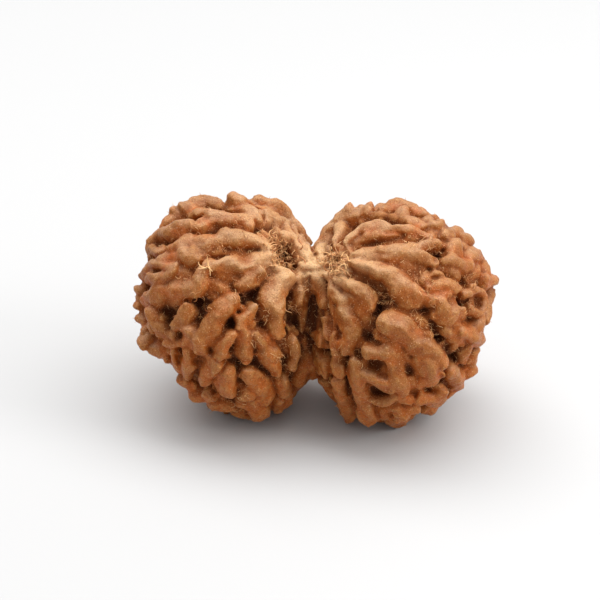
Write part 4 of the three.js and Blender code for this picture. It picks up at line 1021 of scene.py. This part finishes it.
nest = dict(count=190, spread=0.66, length=(0.6, 1.5), turn=(1.5, 5.0),
            radius=(0.055, 0.11), lift=(-0.2, 0.25), tone=(0.1, 0.9))
bundles = [
    dict(nest, at=(-3.1, 5.5)),
    dict(nest, at=(-3.7, 6.6), count=90, spread=0.4),
    dict(nest, at=(2.3, 4.6), count=230, tone=(0.2, 1.0)),
    dict(at=(-10.6, 4.4), count=5, spread=0.12, length=(0.8, 1.4), turn=(0.4, 1.8),
         radius=(0.07, 0.1), lift=(0.1, 0.5), tone=(0.85, 1.0)),
    dict(at=(-4.6, -0.6), count=5, spread=0.2, length=(0.7, 1.1), turn=(1.0, 2.5),
         radius=(0.03, 0.05), lift=(0.1, 0.5), tone=(0.85, 1.0)),
]

# Wisps of short curls in the furrows

chaff = dict(count=15, spread=0.34, length=(0.4, 1.0), turn=(1.5, 4.5),
             radius=(0.035, 0.06), lift=(-0.1, 0.35), tone=(0.0, 0.65))
chaffPlaces = [(11.3, 2.4), (12.3, 0.6), (11.2, -1.7), (10.3, -0.9), (7.3, 1.0), (6.5, 1.6),
               (13.2, 7.0), (11.9, 7.1), (10.6, 7.1), (15.5, 0.6), (9.9, 3.2), (15.9, 3.1),
               (-12.7, 2.9), (-11.6, 1.3), (-11.1, -0.4), (-7.5, 1.5), (-5.4, -2.5),
               (-4.4, 3.3), (-7.4, 6.1), (-0.4, 2.6), (-2.2, 0.3)]
bundles += [dict(chaff, at=at) for at in chaffPlaces]

# Loose clumps of lint, each [right, up, spread, hairs, share of the length] as the viewer sees it

clumps = [
  [-10.4,5.2,.25,5,1], [-11.2,4.9,.3,5,1], [-11,3.6,.25,8,1.2], [-11.9,8.3,.25,10,1],
  [-4.5,-.6,.25,10,1.2], [-2,.3,.3,10,1.2], [11.4,1.8,.5,10,1.2], [11.8,2.7,.4,10,1.1],
  [10.6,2.8,.6,12,1], [10.6,-1.4,.4,20,1], [16,3,.4,10,1], [15.4,-.2,.4,12,1], [10.9,7.4,.5,10,1],
  [9.5,7.2,.5,10,1], [12.2,6,.5,16,.9], [-.9,2.2,.5,12,1], [.9,2.4,.4,12,1], [-1,-.5,.5,8,.9],
  [6.2,1.5,.6,24,.9], [7.4,.9,.6,20,.9], [-6.4,6.5,.7,20,.9], [-9,6,.7,20,.9], [-5.5,2.4,.5,16,.9],
  [4.6,-4.6,.5,20,.9], [2.6,-4.4,.4,20,.9], [-5.8,-3.1,.5,24,1], [-3,-5,.5,20,1], [-7.6,-9,.5,16,.9],
  [-2.6,-3.4,.4,16,1], [12,-1.9,.5,16,1],
]


def settled(base, normal, length, lift, turn, sections, rng):
    # Curls that set off between the skin and its outward normal, from just inside the skin
    count = len(base)
    along = unit(np.cross(normal, rng.normal(size=(count, 3))))
    start = unit(along + normal * lift[:, None])
    axis = unit(rng.normal(size=(count, 3)))
    return curlPaths(base - normal * fibres["rooted"], start, axis, length, turn, sections)


def makeLint(rng):
    # Lint lies on the sides of the ridges more than on their crests, and in patches
    chance = ramp(skinRelief, *fibres["lintFrom"])
    chance = chance * (fibres["lintOnCrests"] - ramp(skinRelief, *fibres["lintTo"]))
    patch = layeredNoise(skinAt, fibres["lintPatch"], noiseSeed["lint"])
    chance = chance * (fibres["lintBare"] + ramp(patch, *fibres["lintPatchSpan"]))
    chosen = rng.choice(len(skinAt), fibres["lintCount"], p=chance / chance.sum())
    base, normal = [skinAt[chosen]], [skinNormal[chosen]]
    length = [rng.uniform(*fibres["lintLength"], len(chosen))]
    for right, up, spread, count, reach in clumps:
        for _ in range(count):
            hit, facing = onSkin(right, up, spread, rng)
            base.append(hit[None])
            normal.append(facing[None])
            length.append(np.array([reach * rng.uniform(*fibres["clumpLength"])]))
    base, normal, length = np.vstack(base), np.vstack(normal), np.concatenate(length)
    count = len(base)
    loose, clumped = len(chosen), count - len(chosen)
    turn = np.append(rng.uniform(*fibres["lintTurn"], loose),
                     rng.uniform(*fibres["clumpTurn"], clumped))
    radius = np.append(rng.uniform(*fibres["lintRadius"], loose),
                       rng.uniform(*fibres["clumpRadius"], clumped))
    loosePower, clumpPower = fibres["tonePower"]
    tone = np.append(rng.uniform(0, 1, loose) ** loosePower,
                     rng.uniform(*fibres["clumpTone"], clumped) ** clumpPower)
    paths = settled(base, normal, length, rng.uniform(*fibres["lintLift"], count), turn,
                    fibres["sections"], rng)
    return hairs(paths, radius, tone)


def makeBundles(rng):
    paths, radius, tone = [], [], []
    for bundle in bundles:
        count = bundle["count"]
        found = [onSkin(*bundle["at"], bundle["spread"], rng) for _ in range(count)]
        base, normal = (np.array(part) for part in zip(*found))
        length, lift, turn = (rng.uniform(*bundle[name], count)
                              for name in ("length", "lift", "turn"))
        paths.append(settled(base, normal, length, lift, turn, fibres["bundleSections"], rng))
        radius.append(rng.uniform(*bundle["radius"], count))
        tone.append(rng.uniform(*bundle["tone"], count))
    return hairs(np.vstack(paths), np.concatenate(radius), np.concatenate(tone))


def fibrePiece(name, made):
    points, quads, tone = made
    # The tips stay inside the solid's box and just clear of the floor
    low, high = np.array(cadBox) / millimetre
    points = np.clip(points, np.maximum(low, [-np.inf, -np.inf, fibres["aboveFloor"]]), high)
    mesh = makeMesh(name, points * millimetre, quads)
    addValues(mesh, tone=tone)
    piece = makeObject(name, mesh)
    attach(piece, "root")
    print(name + ":", len(quads) * 2, "triangles")
    return mesh


rng = np.random.default_rng(fibres["seed"])
fibreMeshes = [fibrePiece("furrowLint", makeLint(rng)), fibrePiece("pitFibres", makeBundles(rng))]

# Finishes

def linear(hexColour):  # an sRGB hex value as linear light, with alpha
    parts = [int(hexColour[i:i + 2], 16) / 255 for i in (1, 3, 5)]
    return [p / 12.92 if p <= 0.04045 else ((p + 0.055) / 1.055) ** 2.4 for p in parts] + [1]


def addNode(tree, kind, settings=None, links=None):
    # A node with its settings, by attribute or by input socket, a ramp's stops, and the outputs
    # that feed it. Gives its main output.
    node = tree.nodes.new("ShaderNode" + kind)
    for key, value in (settings or {}).items():
        if key == "stops":
            stops = node.color_ramp.elements
            while len(stops) < len(value):
                stops.new(1)
            for stop, (position, colour) in zip(stops, value):
                stop.position = position
                stop.color = linear(colour)
        elif isinstance(key, str) and hasattr(node, key):
            setattr(node, key, value)
        else:
            node.inputs[key].default_value = value
    for key, source in (links or {}).items():
        tree.links.new(source, node.inputs[key])
    wanted = {"TexCoord": "Object", "Attribute": "Fac", "Mix": 2}.get(kind, 0)
    return node.outputs[wanted]


def newMaterial(name, meshes):
    material = bpy.data.materials.new(name)
    material.use_nodes = True
    for mesh in meshes:
        mesh.materials.clear()
        mesh.materials.append(material)
    return material.node_tree, material.node_tree.nodes["Principled BSDF"]


def perMetre(length):  # texture scale that gives features of this length in millimetres
    return 1 / (length * millimetre)


# The stone of the fruit, scrubbed of its pulp and dried: a hard woody shell with a thin waxy
# gloss. Its crests are rubbed pale, with a painted highlight along their edges, and what faces
# up is dusty and painted lighter as if lit from above. Its furrows keep dark dry pulp and are
# painted darker still as shade, and thin tips let some light through; the low half, upright and
# downward faces and some knobs have a painted orange glow and shade.

shell = dict(
    deep="#4C2209", furrow="#642F0C", side="#8A4710", crest="#955420", top="#985D2C",
    worn="#AE7840", stain="#5E2C0C", bloom="#AE8260", ripe="#AE5612", pith="#D2A87A",
    speck="#E6BC8E", dark="#5A260A", amber="#B4571A", umber="#6E3E14",
    # Darker down into the furrows: partly the dark dry pulp that they keep, partly painted shade
    stops=[(0.05, "deep"), (0.34, "furrow"), (0.7, "side"), (0.93, "crest"), (1.0, "top")],
    mottle=2.2, hue=3.2, grain=0.4, grit=0.13,  # lengths of the noises
    noiseRoughness=0.6,
    levelShift=(0.3, 0.7, -0.16, 0.16),  # mottle, and what it adds to the relief
    raised=(0.45, 0.8, 0.0, 1.0),  # relief of what counts as raised
    # The colours laid over the ramp in turn: what each follows, the two values of that between
    # which its strength changes, the strength at both, and what multiplies it. Cells are measured
    # in shares of speckApart: a speck ends at 0.09 mm and is full from 0.036 mm.
    layers=[
        ("amber", "hue", 0.52, 0.66, 0.0, 0.8, "raised"),
        ("umber", "hue", 0.47, 0.34, 0.0, 0.6, None),
        # Painted orange glow and shade
        ("ripe", "ripe", 0.0, 1.0, 0.0, 1.0, None),
        # Rubbed pale edges, with a painted highlight along them
        ("worn", "grain", 0.35, 0.65, 0.2, 0.75, "edge"),
        # Pale dust, and painted top light, on what faces up
        ("bloom", "mottle", 0.35, 0.65, 0.1, 0.8, "bloom"),
        ("pith", "pale", 0.0, 1.0, 0.0, 1.0, None),
        # Painted shade in the hollows, the pressed hollows and the shaded patches
        ("stain", "grain", 0.3, 0.7, 0.55, 0.35, "hollow"),
        ("dark", "grit", 0.46, 0.34, 0.0, 0.6, None),
        ("speck", "grit", 0.6, 0.72, 0.0, 0.6, None),
        ("speck", "cells", 0.09 / 0.55, 0.036 / 0.55, 0.0, 0.45, "spotty"),
    ],
    speckApart=0.55,  # millimetres between the specks
    spotty=(0.4, 0.6, 0.0, 1.0),  # mottle, where the specks are
    bump=0.12,  # millimetres
    gritBump=0.5,  # of the grain's, in the bump
    roughness=(0.3, 0.95, 0.95, 0.4),  # level, and the roughness at both
    specular=0.22, ior=1.5, translucency=0.1,
    translucentDepth=0.9,  # millimetres, for red light; green and blue reach less far
    translucentColour=(1.0, 0.42, 0.18),
)


def finishShell(tree, shader):
    coords = addNode(tree, "TexCoord")

    def scaled(value, low, high, least, most):
        return addNode(tree, "MapRange", {"From Min": low, "From Max": high, "To Min": least,
                                          "To Max": most}, {"Value": value})

    def times(a, b):
        return addNode(tree, "Math", {"operation": "MULTIPLY"}, {0: a, 1: b})

    sources = {name: addNode(tree, "Attribute", {"attribute_name": name})
               for name in ("relief", "bloom", "pale", "ripe", "edge", "hollow")}
    for name in ("mottle", "hue", "grain", "grit"):
        sources[name] = addNode(tree, "TexNoise", {"Scale": perMetre(shell[name]), "Detail": 3,
                                                   "Roughness": shell["noiseRoughness"]},
                                {"Vector": coords})
    sources["cells"] = addNode(tree, "TexVoronoi", {"Scale": perMetre(shell["speckApart"])},
                               {"Vector": coords})
    sources["raised"] = scaled(sources["relief"], *shell["raised"])
    sources["spotty"] = scaled(sources["mottle"], *shell["spotty"])
    # The ramp by relief paints the furrows darker, partly as their pulp and partly as painted shade
    shift = scaled(sources["mottle"], *shell["levelShift"])
    level = addNode(tree, "Math", {"operation": "ADD"}, {0: sources["relief"], 1: shift})
    stops = [(position, shell[name]) for position, name in shell["stops"]]
    colour = addNode(tree, "ValToRGB", {"stops": stops}, {"Fac": level})
    for name, source, *span, factor in shell["layers"]:
        mask = scaled(sources[source], *span)
        if factor:
            mask = times(sources[factor], mask)
        colour = addNode(tree, "Mix", {"data_type": "RGBA", 7: linear(shell[name])},
                         {0: mask, 6: colour})
    height = addNode(tree, "Math", {"operation": "MULTIPLY_ADD", 1: shell["gritBump"]},
                     {0: sources["grit"], 2: sources["grain"]})
    bump = addNode(tree, "Bump", {"Strength": 1.0, "Distance": shell["bump"] * millimetre},
                   {"Height": height})
    tree.links.new(colour, shader.inputs["Base Color"])
    tree.links.new(scaled(level, *shell["roughness"]), shader.inputs["Roughness"])
    tree.links.new(bump, shader.inputs["Normal"])
    for name, value in (("Subsurface Weight", shell["translucency"]),
                        ("Subsurface Radius", shell["translucentColour"]),
                        ("Subsurface Scale", shell["translucentDepth"] * millimetre),
                        ("Specular IOR Level", shell["specular"]), ("IOR", shell["ior"])):
        shader.inputs[name].default_value = value


finishShell(*newMaterial("drupe stone, dried and waxy", [seedMesh]))


# Threads of the dried fruit: straw coloured, thin enough to look pale against the light, with a
# dry satin surface.

strand = dict(dark="#A85A20", light="#EDBC80", roughness=0.5)


def finishStrand(tree, shader):
    tone = addNode(tree, "Attribute", {"attribute_name": "tone"})
    colour = addNode(tree, "ValToRGB", {"stops": [(0.0, strand["dark"]), (1.0, strand["light"])]},
                     {"Fac": tone})
    tree.links.new(colour, shader.inputs["Base Color"])
    shader.inputs["Roughness"].default_value = strand["roughness"]


finishStrand(*newMaterial("fruit fibre, dried straw", fibreMeshes))

# The floor, the light and the camera

studio = dict(
    floorHalf=1.5,
    floorColour="#BCBCBC",
    floorRoughness=0.9,
    worldColour="#FFFFFF",
    worldStrength=(0.12, 1.2),  # at the horizon and overhead
    worldTop=0.9,  # of the way up, where it has all its strength
    lightAim=(0, 0, 10),  # millimetres, as are the places and sizes below
    keyPlace=(20, 55, 300),
    keySize=(600, 200),
    keyPower=1.4,
    fillPlace=(220, -60, 130),
    fillSize=(90, 90),
    fillPower=0.25,
    lens=150, sensor=36,
    clipStart=0.01,  # metres
    aimRight=-1.3, aimUp=0.9,  # of the camera, in the drawing
)

half = studio["floorHalf"]
floorMesh = makeMesh("studioFloor", [(-half, -half, 0), (half, -half, 0), (half, half, 0),
                                     (-half, half, 0)], [(0, 1, 2, 3)])
floorPiece = makeObject("studioFloor", floorMesh)
_, shader = newMaterial("studio paper, matt", [floorMesh])
shader.inputs["Base Color"].default_value = linear(studio["floorColour"])
shader.inputs["Roughness"].default_value = studio["floorRoughness"]

world = bpy.data.worlds.new("studio")
bpy.context.scene.world = world
world.use_nodes = True
tree = world.node_tree
background = tree.nodes["Background"]
background.inputs["Color"].default_value = linear(studio["worldColour"])
sky = addNode(tree, "TexCoord").node.outputs["Generated"]
skyUp = addNode(tree, "SeparateXYZ", None, {"Vector": sky}).node.outputs["Z"]
low, high = studio["worldStrength"]
glow = addNode(tree, "MapRange", {"From Min": 0.0, "From Max": studio["worldTop"], "To Min": low,
                                  "To Max": high}, {"Value": skyUp})
tree.links.new(glow, background.inputs["Strength"])


def aimed(thing, position, back):  # a lamp or camera that looks away from back
    thing.location = Vector(position) * millimetre
    thing.rotation_mode = "QUATERNION"
    thing.rotation_quaternion = Vector(back).to_track_quat("Z", "Y")


def areaLight(name, position, size, power):
    light = bpy.data.lights.new(name, "AREA")
    light.shape = "RECTANGLE"
    light.size, light.size_y = (side * millimetre for side in size)
    light.energy = power
    aimed(makeObject(name, light), position, Vector(position) - Vector(studio["lightAim"]))


areaLight("softKey", studio["keyPlace"], studio["keySize"], studio["keyPower"])
areaLight("softFill", studio["fillPlace"], studio["fillSize"], studio["fillPower"])

bpy.context.scene.view_settings.view_transform = "Standard"
cameraData = bpy.data.cameras.new("camera")
cameraData.lens = studio["lens"]
cameraData.sensor_width = studio["sensor"]
cameraData.clip_start = studio["clipStart"]
camera = makeObject("camera", cameraData)
middle = jointCentre + viewRight * studio["aimRight"] + viewUp * studio["aimUp"]
aimed(camera, middle + viewBack * form["viewDistance"], viewBack)
bpy.context.scene.camera = camera

print("cad box", [list(corner) for corner in cadBox])
